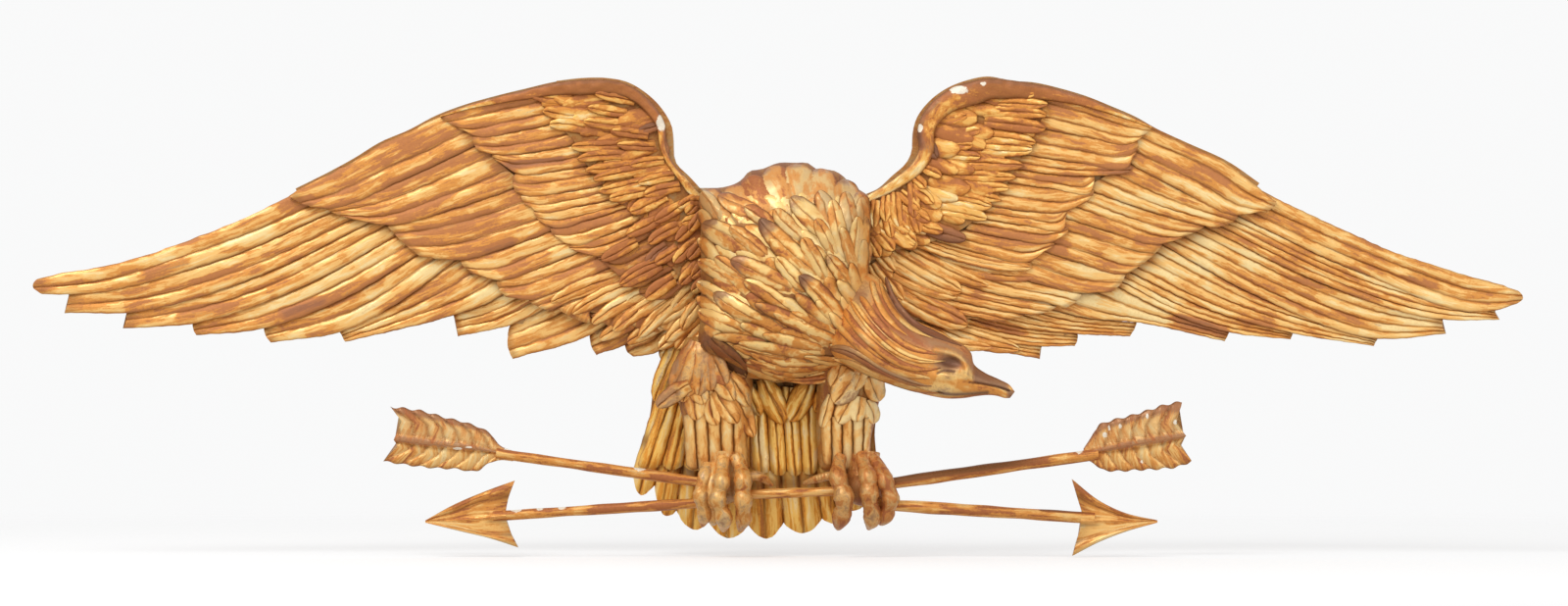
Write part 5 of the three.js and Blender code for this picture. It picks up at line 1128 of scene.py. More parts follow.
def carveNeck():
    # Ellipses carried from the chest to the beak, with bell-shaped ridges and hollows for the head's features
    carving = newCarving()
    rows, around = 300, 168
    sections, middle, half = neckSections(rows)
    s = steps(rows)
    turn = np.linspace(0, 2 * math.pi, around, endpoint=False)[None]
    px = middle[:, 0:1] + half[:, 0:1] * np.cos(turn)
    py = middle[:, 1:2] + half[:, 1:2] * np.cos(turn)
    facing = unit(np.sin(turn) * 1.8)
    brow, lid, mouth, chin = (nearLine(px, py, *neck[key + "Px"]) for key in ("brow", "lid", "mouth", "chin"))
    hollow, ball, cheek = (nearPoint(px, py, *neck[key + "Px"]) for key in ("hollow", "eye", "cheek"))
    above = np.interp(px, *np.array(neck["mouthPx"][0]).T) - py
    fromBeak = px - neck["beakPx"]
    beak = ease(fromBeak / 5) * ease((above + 0.6) / 1.6) + ease((px - neck["hookPx"]) / 6)
    step = ease(fromBeak / 3) * (px < neck["stepPx"]) * bell(fromBeak / 6)
    features = (3.4 * brow - 5.0 * hollow + 3.2 * ball - 1.2 * lid + 1.8 * cheek - 1.5 * mouth - 1.2 * chin
                + 0.8 * beak - 1.2 * step)
    depth = sections[:, 4:5] + sections[:, 5:6] * np.sin(turn)
    depth = depth + facing * (features + 0.45 * handCut(px, py, 1.6))
    # Painted shade in the hollow under the brow and in the lid, mouth and chin lines; the eyeball is kept
    # lighter as a painted highlight
    groove = 0.75 * hollow * (1 - 0.8 * brow) - 0.3 * ball + 1.0 * lid + 0.9 * mouth + 0.9 * chin
    groove = unit(facing * groove + 0.35 * unit(beak) * ease((above - 3) / 6))
    crown = ease((np.cos(turn) - 0.1) / 0.5) * ease((s - 0.1) / 0.2)
    # Mauve rub fills the hollow under the brow as painted shade, and the cheek is spared it as a painted
    # highlight
    rub = (1.2 * unit(beak) + 0.86 * crown * (1 - 0.55 * brow) * (1 - beak) + 0.35 * (1 - crown) * (1 - cheek)
           + 0.25 * ball + 1.5 * hollow * (1 - brow) * facing)
    dust = unit(0.35 * crown * (1 - beak) + 0.9 * nearPoint(px, py, *neck["chestPx"]))
    length = lengthAlong(middle)[:, None] * photo["metresPerPx"]
    grain = np.stack(np.broadcast_arrays(length, turn * 0.02, 6.0), axis=-1)
    addLoops(carving, flatPlace(px, py, depth), grain, groove, dust, np.clip(rub, 0, 1.3))
    for pointsPx, rub, stainAndShade in neck["locksPx"]:
        wide = max(point[2] for point in pointsPx)
        look = dict(neck["lockLook"], rub=rub, stainAndShade=stainAndShade, strips=2 if wide > 9.2 else 1)
        ribbon(carving, *lockLines(pointsPx, 60), flatPlace, look, neckDepth)
    finishCarving(carving, "carved_neck_and_head", neckGold, "neck_and_head", roundedDegrees)


carveNeck()
print("body and head carved")

# Tail, thighs and feet
tail = {
    "outlinePx": [
        (666, 389), (664, 415), (657, 449), (650, 470), (660, 482), (690, 505), (720, 518), (760, 520),
        (800, 520), (838, 516), (870, 510), (888, 500), (894, 480), (893, 440), (898, 400), (898, 350),
        (885, 352), (860, 360), (825, 369), (790, 379), (765, 369), (740, 357), (716, 346), (698, 347),
        (680, 364)],
    "centrePx": (785, 440),
    "topsPx": [
        (681, 366), (694, 372), (708, 378), (728, 384), (757, 390), (790, 394), (822, 394), (848, 388),
        (880, 380)],
    "notchesPx": [
        (645, 480), (667, 496), (690, 521.5), (723, 533.5), (763.4, 536), (799.5, 534), (839, 529.5),
        (868, 522), (895, 498)],
    "bulges": [17, 16, 13, 15, 15, 13, 9, 6],
    "covertTopsPx": [
        (684, 388), (696, 398), (712, 402), (738, 404), (764, 400), (781, 396), (797, 394), (813, 396),
        (835, 398)],
    "covertFeetPx": [
        (650, 474), (675, 474), (697, 475), (722, 476), (766, 476), (786, 480), (803, 481), (819, 481),
        (835, 478)],
    "sideLeavesPx": [((692, 350), (668, 410), 22), ((704, 352), (684, 402), 20)],
    "underLeavesPx": [
        ((778, 386), (799, 432), 26), ((827, 388), (806, 430), 26), ((762, 392), (776, 424), 16),
        ((846, 390), (832, 420), 16)]}
tailLooks = {
    # The band on the feathers paints the grip bar's shadow across them
    "feathers": dict(rows=34, root=13.0, tip=8.5, slope=1.3, under=0.6, tilt=0.0, belly=2.2, groove=1.6,
                     crown=0.8, edge=1.2, shadowBand=(0.72, 0.07, 0.8), rough=0.5),
    "coverts": dict(rows=26, root=20.0, tip=17.0, drop=8.0, tilt=0.0, belly=1.6, groove=1.8, crown=0.9,
                    lined=0.4, edge=1.2, droop=2.0),
    "under": dict(rows=22, shape=(2.2, 0.6), root=26.0, tip=24.0, drop=8.0, tilt=0.0, belly=2.2, groove=1.2,
                  edge=1.4),
    "sides": dict(rows=22, shape=(2.6, 0.8), root=17.0, tip=17.0, drop=8.0, tilt=0.0, belly=2.0, groove=0.8,
                  crown=0.4, edge=1.2, rub=0.6, rubFrom=-0.4),
}


def boardDepth(px, py):
    return np.full(np.shape(px), 9.0)


def carveTail():
    carving = newCarving()
    domeBlock(carving, tail, 0.3, boardDepth, 0.8, 0.0, [1.0, 0.8, 0.5, 0.1])
    stripRow(carving, tail["topsPx"], tail["notchesPx"], tailLooks["feathers"], tail["bulges"])
    stripRow(carving, tail["covertTopsPx"], tail["covertFeetPx"], tailLooks["coverts"], [5] * 8)
    for root, tip, width in tail["underLeavesPx"]:
        leaf(carving, root, tip, width, 0.0, tailLooks["under"])
    for root, tip, width in tail["sideLeavesPx"]:
        leaf(carving, root, tip, width, 0.0, tailLooks["sides"])
    finishCarving(carving, "carved_tail", tailGold, "tail_board")


carveTail()

legs = {
    "left": {
        "outlinePx": [
            (700, 344), (730, 343), (745, 346), (764, 362), (768, 392), (764, 425), (760, 455),
            (764, 478), (738, 480), (712, 478), (702, 455), (696, 425), (690, 395), (692, 366)],
        "centrePx": (730, 410),
        "leavesPx": [
            ((671, 415), (704, 392), 19, 9), ((711, 428), (708, 392), 24, 1),
            ((749, 408), (720, 368), 24, 3), ((753, 431), (731, 398), 24, 1),
            ((769, 446), (750, 398), 19, 0), ((731, 434), (722, 398), 20, 0),
            ((718, 412), (704, 376), 24, 3), ((764, 414), (744, 382), 20, 2),
            ((697, 410), (700, 384), 18, 2)],
        # Folds of the knee, which run down from its knob: foot, head, width and lift
        "foldsPx": [
            ((688, 398), (712, 350), 22, 6), ((700, 404), (716, 350), 22, 7),
            ((713, 403), (718, 351), 20, 8), ((726, 398), (719, 351), 20, 8),
            ((741, 392), (720, 352), 20, 7)],
        "stripTopsPx": [(697, 424), (709, 420), (722, 424), (735, 426), (748, 424), (762, 426)],
        "stripFeetPx": [(700, 474), (712, 478), (724, 479), (737, 480), (750, 479), (764, 476)],
        "stripTone": 0.0, "leafTone": -0.02},
    "right": {
        "outlinePx": [
            (836, 354), (866, 350), (899, 348), (901, 390), (897, 409), (892, 432), (887, 455),
            (887, 478), (862, 481), (838, 478), (834, 455), (833, 420), (834, 385)],
        "centrePx": (866, 410),
        "leavesPx": [
            ((851, 411), (872, 380), 28, 3), ((897, 409), (888, 384), 22, 2),
            ((855, 431), (868, 404), 22, 1), ((874, 430), (878, 404), 20, 1),
            ((892, 432), (884, 408), 18, 0), ((848, 394), (858, 372), 20, 1),
            ((838, 436), (848, 402), 14, 0), ((872, 398), (882, 374), 18, 2)],
        "foldsPx": [],
        "stripTopsPx": [(836, 428), (848, 424), (859, 426), (870, 424), (881, 426), (891, 424)],
        "stripFeetPx": [(839, 470), (849, 474), (860, 476), (870, 476), (880, 474), (887, 468)],
        # The right thigh's tones are raised, partly as painted light against the body's shadow on it
        "stripTone": 0.1, "leafTone": 0.12}}
legSet = dict(back=14.3, kneeDepth=50.0, ankleThinner=17.0, kneePx=356, anklePx=480, rimShare=0.62)
legLooks = {
    "strips": dict(rows=20, root=0.5, tip=0.0, drop=5.0, tilt=0.0, belly=1.8, groove=1.0, lined=0.8,
                   crown=0.7, strips=1, edge=1.3),
    "leaves": dict(rows=20, shape=(2.2, 0.7), drop=6.0, tilt=0.3, groove=1.1, crown=0.5, belly=1.6,
                   rootDark=0.35, edge=1.2, lined=0.5, rubFrom=0.0),
    "folds": dict(rows=24, shape=(3.4, 0.8), drop=9.0, tilt=0.2, groove=0.8, crown=0.4, belly=0.9,
                  rootDark=0.0, edge=0.5, rough=0.9, rub=0.74, rubFrom=-0.6, dust=0.1, lined=0.25,
                  tone=-0.03),
}


def legDepth(leg):
    dome = domeDepth(leg, legSet["rimShare"], 1.0)

    def depth(px, py):
        level = unit((py - legSet["kneePx"]) / (legSet["anklePx"] - legSet["kneePx"]))
        return legSet["back"] + dome(px, py) * (legSet["kneeDepth"] - legSet["ankleThinner"] * level)

    return depth


def carveThigh(side):
    leg = legs[side]
    carving = newCarving()
    depthAt = legDepth(leg)
    domeBlock(carving, leg, legSet["back"], depthAt, 0.6, 1.5)
    look = dict(legLooks["strips"], tone=leg["stripTone"])
    stripRow(carving, leg["stripTopsPx"], leg["stripFeetPx"], look, [3] * 5, depthAt)
    for tip, root, width, lift in sorted(leg["leavesPx"], key=lambda entry: -entry[0][1]):
        look = dict(legLooks["leaves"], root=lift - 0.6, tip=2.6 + lift * 0.6, tone=leg["leafTone"],
                    rub=0.17 * min(lift, 5))
        leaf(carving, root, tip, width, rng.uniform(-0.05, 0.05), look, depthAt)
    for tip, root, width, lift in leg["foldsPx"]:
        look = dict(legLooks["folds"], root=lift, tip=lift * 0.5 + 1.6)
        leaf(carving, root, tip, width, rng.uniform(-0.05, 0.05), look, depthAt)
    finishCarving(carving, f"carved_{side}_thigh", thighGold, f"{side}_thigh")


def tube(carving, path, radii, sides, grainSeed, ripple, *marks):
    # Circles carried along a path of points, turned so that the first point of each faces up or to +X. The
    # ripple is the share of the radius at a share of the length and an angle
    ahead = np.gradient(path, axis=0)
    ahead /= np.linalg.norm(ahead, axis=1)[:, None]
    guide = np.array([0.0, 0.0, 1.0]) if abs(ahead[:, 0]).mean() > 0.7 else np.array([1.0, 0.0, 0.0])
    first = guide - ahead * (ahead @ guide)[:, None]
    first /= np.linalg.norm(first, axis=1)[:, None]
    second = np.cross(ahead, first)
    turn = np.linspace(0, 2 * math.pi, sides, endpoint=False)[None]
    swell = np.asarray(radii, float)[:, None] * ripple(steps(len(path)), turn)
    loops = (path[:, None] + first[:, None] * (swell * np.cos(turn))[..., None]
             + second[:, None] * (swell * np.sin(turn))[..., None])
    grain = np.broadcast_arrays(lengthAlong(path)[:, None], turn * np.mean(radii), grainSeed)
    addLoops(carving, loops, np.stack(grain, axis=-1), *marks)


feet = {
    "left": {
        "palmPx": (738, 497),
        # Toes: pixels from the ankle down over the shafts, with a depth in mm and a radius in pixels
        "toesPx": [
            [
                (722, 474, 48, 5), (719, 486, 60, 7), (716, 495, 63, 5), (715, 504.5, 66, 7.5),
                (717, 514, 64, 5.2), (719, 523, 60, 7), (718, 531, 51, 4), (717, 536, 46, 1.5)],
            [
                (738, 468, 48, 7), (737, 481, 58, 6), (737, 490.5, 67, 8.5), (735, 499, 67, 6),
                (733, 507, 69, 9), (735, 516, 67, 6.2), (738.5, 525, 64, 9.2), (739, 534, 54, 5.5),
                (738, 541, 46, 1.5)],
            [
                (752, 466, 48, 7), (757, 480, 58, 6.5), (758.6, 489.5, 68, 9.5), (758, 499.5, 68, 6.8),
                (758.6, 509, 70, 10), (758.5, 519, 67, 6.6), (759, 526.5, 62, 8.2), (757, 534.5, 54, 4.5),
                (755, 541, 46, 1.5)],
            [
                (728, 474, 44, 5), (727.5, 488, 58, 6.5), (725.5, 498, 62, 5), (726, 508, 62, 6.5),
                (728, 518, 58, 5), (728.5, 528, 53, 5.5), (728, 534, 46, 2)]],
        "clawPx": [(762, 486, 40, 5), (773, 485, 38, 5), (781, 489, 34, 4), (788, 495, 30, 1.5)]},
    "right": {
        "palmPx": (881, 498),
        "toesPx": [
            [
                (857, 466, 46, 6), (855, 478, 57, 6.5), (855, 487, 65, 9), (858, 495.5, 67, 7),
                (860.5, 504.5, 69, 11), (861, 515, 67, 7.4), (858.6, 524.5, 62, 9.4), (856, 533, 53, 5.5),
                (855, 539, 45, 1.5)],
            [
                (878, 464, 46, 6), (882, 477, 57, 7), (885.5, 487.5, 66, 9.5), (886, 494, 67, 8),
                (886.5, 501, 69, 10), (887, 511, 68, 7), (889, 519, 65, 8), (889.5, 528, 58, 8.6),
                (887, 536, 48, 3), (886, 539, 44, 1.5)],
            [
                (890, 466, 42, 6), (898, 480, 55, 7.5), (902.5, 490.5, 63, 9.5), (906, 499, 64, 6.8),
                (908, 507, 64, 9.4), (906, 515.5, 61, 6.8), (903.5, 523, 57, 8.8), (900, 530.5, 49, 4.5),
                (898, 534, 44, 1.5)]],
        "clawPx": [(856, 485, 42, 5), (846, 485, 40, 4.6), (834, 488, 36, 4), (820, 493, 31, 1.5)]}}
# The ankle's sections are down the picture, a depth in mm and a radius in pixels. Knuckle, ring and lump are
# shares of a radius.
footSet = {
    "palmHalfPx": (24, 17), "palmDepth": 38, "palmRise": 22, "palmRows": 22, "palmSides": 28, "lump": 0.06,
    "anklePx": ((462, 34, 17), (476, 36, 16), (490, 38, 18)), "ankleRows": 14,
    "toeRows": 72, "sides": 24, "knuckle": 0.32, "ring": 0.035, "ringsPerToe": 74,
}


def toePath(line):
    return flatPlace(line[:, 0], line[:, 1], line[:, 2]), line[:, 3] * photo["metresPerPx"]


def roundSection(along, around):
    return np.ones(np.broadcast_shapes(along.shape, around.shape))


def carveFoot(side):
    # Knuckled toes: each a tube whose radius swells at every knuckle, with fine rings across its front
    foot = feet[side]
    carving = newCarving()
    palmX, palmY = foot["palmPx"]
    wide, high = footSet["palmHalfPx"]
    t = np.linspace(0.02, math.pi - 0.02, footSet["palmRows"])[:, None]
    turn = np.linspace(0, 2 * math.pi, footSet["palmSides"], endpoint=False)[None]
    lumps = 1 + footSet["lump"] * np.sin(3 * turn + 5 * t) * np.sin(t)
    loops = flatPlace(palmX - wide * np.cos(t), palmY + high * np.sin(t) * np.cos(turn) * lumps,
                      footSet["palmDepth"] + footSet["palmRise"] * np.sin(t) * np.sin(turn) * lumps)
    addLoops(carving, loops, loops, 0.5, 0.4)
    ankle = smoothLine([(palmX, *section) for section in footSet["anklePx"]], footSet["ankleRows"])
    tube(carving, *toePath(ankle), footSet["sides"], 4.0, roundSection, 0.25, 0.2)
    s = steps(footSet["toeRows"])
    for k, toe in enumerate(foot["toesPx"] + [foot["clawPx"]]):
        line = smoothLine(toe, footSet["toeRows"])
        radius, widest = line[:, 3:4], max(line[:, 3])
        radius += footSet["knuckle"] * (widest - radius) * np.sin(math.pi * s) ** 0.5

        def wrinkle(along, around):
            rings = np.sin(along * footSet["ringsPerToe"] + k) * np.sin(math.pi * along) ** 0.5
            return 1 + footSet["ring"] * rings * (np.sin(around) < 0.4)

        ripples = unit(0.35 * (1 - np.cos(s * footSet["ringsPerToe"] + k)) * 0.5)
        pinch = unit(1.25 - radius / max(line[:, 3])) * np.sin(math.pi * s)
        groove = unit(0.25 * ripples + 0.6 * pinch)
        tube(carving, *toePath(line), footSet["sides"], 7.0 + 2.3 * k, wrinkle, groove, 0.1, 0.42)
    finishCarving(carving, f"carved_{side}_foot", footGold[side], f"{side}_foot", roundedDegrees)


for side in ("left", "right"):
    carveThigh(side)
    carveFoot(side)
print("tail and legs carved")

# Arrows
shafts = {
    "radius": 4.75, "gripRadius": 4.4, "rows": 60, "sides": 18, "leftShare": 0.95, "rightShare": 1.08,
    "flatShare": 0.03, "toolShare": 0.015, "waveShares": (0.05, 0.035),
    # Pixel across the picture and half width of each chip
    "chipsPx": {"lower_left_shaft": ((528, 7), (552, 4), (574, 5)), "upper_left_shaft": ((652, 7),),
                "upper_right_shaft": ((1101, 4),)},
    # From and to which pixel, and from which share of the way round to the top
    "darkTopPx": {"upper_right_shaft": (904, 1040, -0.3), "lower_right_shaft": (1060, 1100, 0.5)},
}


def shavedSection(along, around):
    # Six flats round the rod that turn slowly along it, under the ripples of the tool
    flats, ripples = np.cos(6 * around + 2 * along), np.sin(40 * along + 3 * around)
    return 1 + shafts["flatShare"] * flats + shafts["toolShare"] * ripples


def makeShaft(name, radius):
    # A hand-shaved rod from end to end of its CAD node's box: nearly round, slightly wavy and flattened
    low, high = (np.array(corner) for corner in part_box(name))
    r = radius * mm
    inner, outer = (low[0], high[0]) if name == "grip_bar" or high[0] > 0 else (high[0], low[0])
    zIn, zOut = (high[2] - r, low[2] + r) if "lower" in name else (low[2] + r, high[2] - r)
    s = steps(shafts["rows"])
    middleY = (low[1] + high[1]) / 2
    path = beside(inner + (outer - inner) * s, middleY + 0 * s, zIn + (zOut - zIn) * s)
    long, short = shafts["waveShares"]
    wave = 1 + long * np.sin(9 * s[:, 0] + radius) + short * np.sin(23 * s[:, 0] + 2)
    px = path[:, :1] / photo["metresPerPx"] + photo["middlePx"]
    upward = np.cos(np.linspace(0, 2 * math.pi, shafts["sides"], endpoint=False))[None]
    chip = unit(upward) * sum(bell((px - at) / half) for at, half in shafts["chipsPx"].get(name, ()))
    fromPx, toPx, startShare = shafts["darkTopPx"].get(name, (0, 0, 1))
    # Darker on the shaft's upper side between the given pixels
    darkTop = ease((upward - startShare) / 0.4) * (px > fromPx) * ease((toPx + 40 - px) / 60)
    carving = newCarving()
    radii = r * wave * shafts["rightShare" if "right" in name else "leftShare"]
    tube(carving, path, radii, shafts["sides"], 3.0 + abs(inner) * 50, shavedSection,
         0.08 + 0.92 * darkTop, 0.0, 0.15 + 0.4 * darkTop, chip, -0.3 * darkTop)
    finishCarving(carving, "carved_" + name, shaftGold, name, roundedDegrees)


for name in ("upper_left_shaft", "lower_left_shaft", "upper_right_shaft", "lower_right_shaft"):
    makeShaft(name, shafts["radius"])
makeShaft("grip_bar", shafts["gripRadius"])


def plateGrid(linesPx, rows, columns):
    # Points on lines blended from the first listed line to the last
    lines = np.stack([smoothLine(line, rows) for line in linesPx])
    across = columns * (len(linesPx) - 1)
    k = np.clip(across.astype(int), 0, len(linesPx) - 2)
    t = (across - k)[:, None, None]
    return (lines[k] * (1 - t) + lines[k + 1] * t).transpose(1, 0, 2)


def addPlate(carving, px, py, height, back, grain, marks, backMarks):
    # A plate whose front loops run on into its flat back
    loops = beside(flatPlace(px, py, height), flatPlace(px[:, ::-1], py[:, ::-1], back + 0 * px))
    grain = np.stack(np.broadcast_arrays(*grain), axis=-1)
    marks = [beside(mark + 0 * px, np.full(px.shape, behind)) for mark, behind in zip(marks, backMarks)]
    addLoops(carving, loops, beside(grain, grain[:, ::-1]), *marks)


# Height in mm of the chisel's unevenness on the flat plates
plateCut = 0.25


def nodeDepths(name):
    low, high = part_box(name)
    return -low[1] / mm, -high[1] / mm


arrowheadLinesPx = {
    "left": [
        [(435, 530), (462, 515), (497, 500), (526, 489.5)],
        [(435, 530.6), (464, 521), (490, 511), (520, 505)],
        [(435, 531), (465, 526), (490, 520), (517, 518)],
        [(435, 531.3), (465, 530), (490, 528), (517, 525.5)],
        [(435, 531.6), (465, 533), (490, 535), (518, 533)],
        [(435, 532), (467, 537), (492, 543), (523, 545)],
        [(435, 532.5), (468, 540.5), (503, 549), (529.5, 557.5)]],
    "right": [
        [(1180, 530), (1146, 522), (1121, 510), (1093, 488)],
        [(1180, 530.3), (1148, 526), (1121, 517), (1098, 505)],
        [(1180, 530.6), (1149, 529), (1122, 524), (1103, 521)],
        [(1180, 531), (1149, 531.5), (1122, 530.5), (1101.5, 530)],
        [(1180, 531.4), (1149, 534), (1122, 538), (1101.5, 539)],
        [(1180, 531.7), (1149, 537), (1122, 544), (1097, 553)],
        [(1180, 532.5), (1151, 540.5), (1123, 551), (1093.5, 566)]]}
# Heights in mm of the forms on an arrowhead's front, and where its rim lies as a share of the width
arrowheadSet = dict(rows=60, rim=1.5, rimShare=0.08, field=1.5, ridge=1.3, socket=3.2, lip=1.6, rear=1.2)


def carveArrowhead(side):
    # Raised rim along both edges, a sunken field and a low ridge down the middle that swells into the shaft
    front, back = nodeDepths(f"{side}_arrowhead")
    form = arrowheadSet
    columns = np.concatenate([[0, 0.03, 0.07, 0.12, 0.17], np.linspace(0.22, 0.44, 7), [0.47, 0.5, 0.53],
                              np.linspace(0.56, 0.78, 7), [0.83, 0.88, 0.93, 0.97, 1]])
    px, py = plateGrid(arrowheadLinesPx[side], form["rows"], columns).transpose(2, 0, 1)
    s = steps(form["rows"])
    a = columns[None]
    edge = np.minimum(a, 1 - a)
    lip = edge < 0.01
    rim = bell((edge - form["rimShare"]) / 0.045)
    ridge = bell((a - 0.5) / 0.035) * ease((s - 0.15) / 0.3)
    socket = bell((a - 0.5) / 0.075) * ease((s - 0.74) / 0.1)
    rear = ease((s - 0.8) / 0.2) * (edge > 0.02) * (1 - socket)
    field = ease((edge - 0.1) / 0.1) * ease((s - 0.1) / 0.3)
    height = (0.55 + 0.25 * ease(s / 0.3)) * (front - back) + back
    height = height + form["rim"] * rim - form["field"] * field
    height = height + form["ridge"] * ridge + form["socket"] * socket
    height = np.minimum(height - form["lip"] * lip - form["rear"] * rear + plateCut * handCut(px, py), front)
    besideSocket = bell((np.abs(a - 0.5) - 0.09) / 0.03) * ease((s - 0.7) / 0.1)
    besideRim = bell((edge - 0.17) / 0.04) * ease(s / 0.3)
    groove = unit(0.55 * besideRim + 0.3 * rear + 0.4 * besideSocket + 0.5 * lip)
    grain = (s * 0.08, (a - 0.5) * 0.06, 2.0 + 3.0 * (a > 0.5))
    carving = newCarving()
    addPlate(carving, px, py, height, back, grain, [groove], [0.8])
    finishCarving(carving, f"carved_{side}_arrowhead", arrowGold, f"{side}_arrowhead", plateDegrees)


fletchings = {
    "left": {
        "linesPx": [
            [
                (524, 459.5), (511, 454), (500, 441), (492, 436.5), (477, 431), (455, 425.5), (432, 419),
                (399, 414.5)],
            [(524, 461.5), (511, 457), (497, 447), (477, 441), (455, 437), (433, 432), (411, 429)],
            [(524, 464), (511, 461.5), (495, 458), (477, 455.5), (455, 453), (433, 451), (403, 448)],
            [(524, 467), (511, 465), (496, 466), (477, 467), (453, 465), (430, 462), (407, 455)],
            [
                (524, 470), (511, 469), (500, 472), (487, 480), (468, 478), (446, 477), (426, 475),
                (392, 470)]],
        "barbs": 7.0,
        "chipsPx": [((468, 457), 6, 1.6), ((519, 457.5), 5, 1.6), ((480, 455.5), 4, 1.2)]},
    "right": {
        "linesPx": [
            [
                (1105, 457), (1113, 445), (1120, 434), (1135, 428), (1151, 424), (1174, 417), (1190, 412),
                (1205, 409.5)],
            [(1105, 459), (1116, 450), (1135, 442), (1151, 438), (1174, 433), (1199, 431)],
            [(1105, 461.5), (1117, 459.5), (1135, 456), (1151, 453), (1174, 449), (1209, 444)],
            [(1105, 464), (1117, 465), (1140, 468), (1156, 466), (1180, 462), (1202, 452)],
            [
                (1105, 467), (1113, 471), (1123, 478), (1142, 480), (1158, 479), (1180, 478), (1203, 475),
                (1215, 470)]],
        "barbs": 6.5,
        "chipsPx": [
            ((1126.5, 443), 2.8, 3.4), ((1131, 436), 1.6, 3), ((1142, 434), 2, 3),
            ((1169.5, 424), 1.8, 3.6), ((1198, 430), 2.4, 3), ((1107, 461), 4, 1.8),
            ((1164, 470.5), 1.6, 2.2)]}}
# Heights in mm of the forms on a fletching's front. Slant and scallop are shares
fletchingSet = dict(rows=110, barb=1.9, quill=2.6, lip=1.2, thinnest=1.5, slant=0.2, scallop=0.035)


def carveFletching(side):
    # A raised quill down the middle; slanting barbs on both sides are waves of along minus a share of across
    vane = fletchings[side]
    front, back = nodeDepths(f"{side}_fletching")
    form = fletchingSet
    columns = np.concatenate([[0, 0.04, 0.09], np.linspace(0.15, 0.41, 9), [0.445, 0.47, 0.5, 0.53, 0.555],
                              np.linspace(0.59, 0.85, 9), [0.91, 0.96, 1]])
    grid = plateGrid(vane["linesPx"], form["rows"], columns)
    s = steps(form["rows"])
    a = columns[None]
    off = np.abs(a - 0.5) * 2
    lip = off > 0.99
    phase = (s * 1.12 - form["slant"] * off - 0.06) * vane["barbs"]
    saw = phase - np.floor(phase)
    barb = np.where(saw < 0.75, saw / 0.75, (1 - saw) / 0.25)
    spread = ease((s - 0.08) / 0.14) * ease((off - 0.08) / 0.14)
    scallop = 1 + form["scallop"] * np.sin(phase * 2 * math.pi) * ease((off - 0.7) / 0.3) * spread
    middle = grid[:, len(columns) // 2][:, None]
    px, py = ((grid - middle) * scallop[..., None] + middle).transpose(2, 0, 1)
    quill = np.exp(-((off / 0.15) ** 4))
    height = back + (front - back) * (0.52 + 0.1 * np.sqrt(unit(1 - off)))
    height = height + form["barb"] * (barb - 0.5) * spread + form["quill"] * quill - form["lip"] * lip
    height = np.clip(height + plateCut * handCut(px, py), back + form["thinnest"], front)
    groove = unit(0.5 * (1 - barb) ** 2.5 * spread + 0.4 * bell((off - 0.2) / 0.05) + 0.5 * lip)
    dust = np.where(a < 0.5, 0.35, 0.1)
    rub = unit(0.9 * quill + 1.1 * ease((off - 0.55) / 0.4) * (a < 0.5))
    chip = sum(nearPoint(px, py, *spot) for spot in vane["chipsPx"])
    tone = 0.06 * ease((off - 0.15) / 0.1) * (1 - ease((off - 0.5) / 0.4))
    grain = (off * 0.03, s * 0.12, np.floor(phase) * 1.7 + 4.0 * (a > 0.5))
    carving = newCarving()
    addPlate(carving, px, py, height, back, grain, (groove, dust, rub, chip, tone), (0.8, 0, 0.5, 0, 0))
    finishCarving(carving, f"carved_{side}_fletching", arrowGold, f"{side}_fletching", plateDegrees)


for side in ("left", "right"):
    carveArrowhead(side)
    carveFletching(side)
print("arrows carved")

# Carried-over CAD nodes and their finishes
nodeFinish = dict(screw=screwIron, strap=strapIron, hanger=strapIron, ring=ringSteel, dowel=boardWood)
for name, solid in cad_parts.items():
    finish = next((material for word, material in nodeFinish.items() if word in name), carvedNodeGold)
    if not solid.data.materials:
        solid.data.materials.append(finish)
    for index in range(len(solid.data.materials)):
        solid.data.materials[index] = finish

# Camera, floor and light
studio = {
    "cameraDistance": 6.0, "fieldWidth": 1.392, "focusDepth": 0.03, "aimZ": -0.0165, "sensor": 36,
    "floorZ": -0.2415, "floorSize": 5.0, "floorSpread": (1 / 2.2, 1 / 1.5, 0), "floorGlow": 0.55,
    "white": (0.95, 0.952, 0.953, 1.0), "surround": 0.62,
}
camera = linked("camera", bpy.data.cameras.new("camera"))
camera.data.sensor_width = studio["sensor"]
camera.data.lens = studio["sensor"] * (studio["cameraDistance"] - studio["focusDepth"]) / studio["fieldWidth"]
camera.data.clip_end = 100
camera.location = (0, -studio["cameraDistance"], studio["aimZ"])
camera.rotation_euler = (math.pi / 2, 0, 0)
bpy.context.scene.camera = camera


def whiteForCamera(tree):
    # 1 where the camera looks, straight, in a reflection or through something, and 0 for all other light
    path = node(tree, "ShaderNodeLightPath").outputs
    seen = mathNode(tree, "MAXIMUM", path["Is Camera Ray"], path["Is Glossy Ray"])
    return mathNode(tree, "MAXIMUM", seen, path["Is Transmission Ray"])


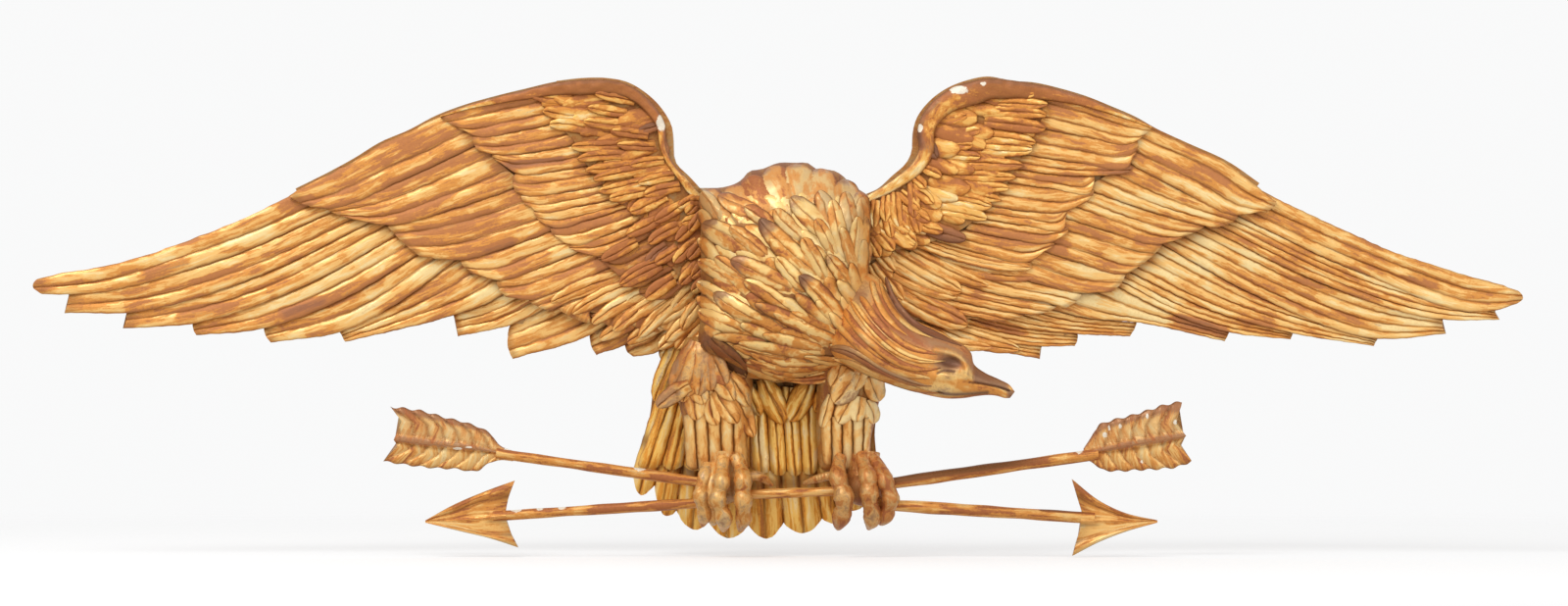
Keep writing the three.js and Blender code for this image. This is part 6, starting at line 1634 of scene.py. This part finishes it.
world = bpy.data.worlds.new("studio")
bpy.context.scene.world = world
world.use_nodes = True
tree = world.node_tree
tree.nodes.clear()
shown = node(tree, "ShaderNodeBackground", {0: studio["white"]})
lit = node(tree, "ShaderNodeBackground", {0: (1, 1, 1, 1), 1: studio["surround"]})
mix = node(tree, "ShaderNodeMixShader", {0: whiteForCamera(tree), 1: lit.outputs[0], 2: shown.outputs[0]})
node(tree, "ShaderNodeOutputWorld", {0: mix.outputs[0]})


def floorInputs(tree):
    # The floor glows for the camera and fades out into the background at its rim
    glow = times(tree, whiteForCamera(tree), studio["floorGlow"])
    place = node(tree, "ShaderNodeTexCoord").outputs["Object"]
    spread = vectorNode(tree, "MULTIPLY", place, studio["floorSpread"])
    reach = node(tree, "ShaderNodeVectorMath", {0: spread}, operation="LENGTH").outputs["Value"]
    solid = node(tree, "ShaderNodeMapRange", {"Value": reach, "From Min": 0.35, "To Min": 1.0, "To Max": 0.0},
                 interpolation_type="SMOOTHSTEP").outputs[0]
    return {"Base Color": (0.5, 0.5, 0.5, 1), "Roughness": 0.9, "Specular IOR Level": 0.0,
            "Emission Color": (1, 1, 1, 1), "Emission Strength": glow, "Alpha": solid}


half = studio["floorSize"] / 2
cornersXY = ((-half, -half), (half, -half), (half, half), (-half, half))
floorMesh = bpy.data.meshes.new("floor")
floorMesh.from_pydata([(x, y, studio["floorZ"]) for x, y in cornersXY], [], [(0, 1, 2, 3)])
floorMesh.materials.append(newMaterial("pale floor", floorInputs))
linked("floor", floorMesh)


def softLamp(name, place, size, power):
    # A rectangle of light that faces the origin
    data = bpy.data.lights.new(name, "AREA")
    data.shape = "RECTANGLE"
    data.size, data.size_y = size
    data.energy = power
    lamp = linked(name, data)
    lamp.location = place
    toX, toY, toZ = (-value for value in place)
    lamp.rotation_euler = (math.pi / 2 + math.atan2(toZ, math.hypot(toX, toY)), 0, math.atan2(-toX, toY))


softLamp("key", (-0.9, -1.6, 1.7), (1.2, 1.0), 26)
softLamp("fill", (1.6, -2.2, 0.5), (1.6, 1.2), 10)

bpy.context.scene.view_settings.view_transform = "Standard"
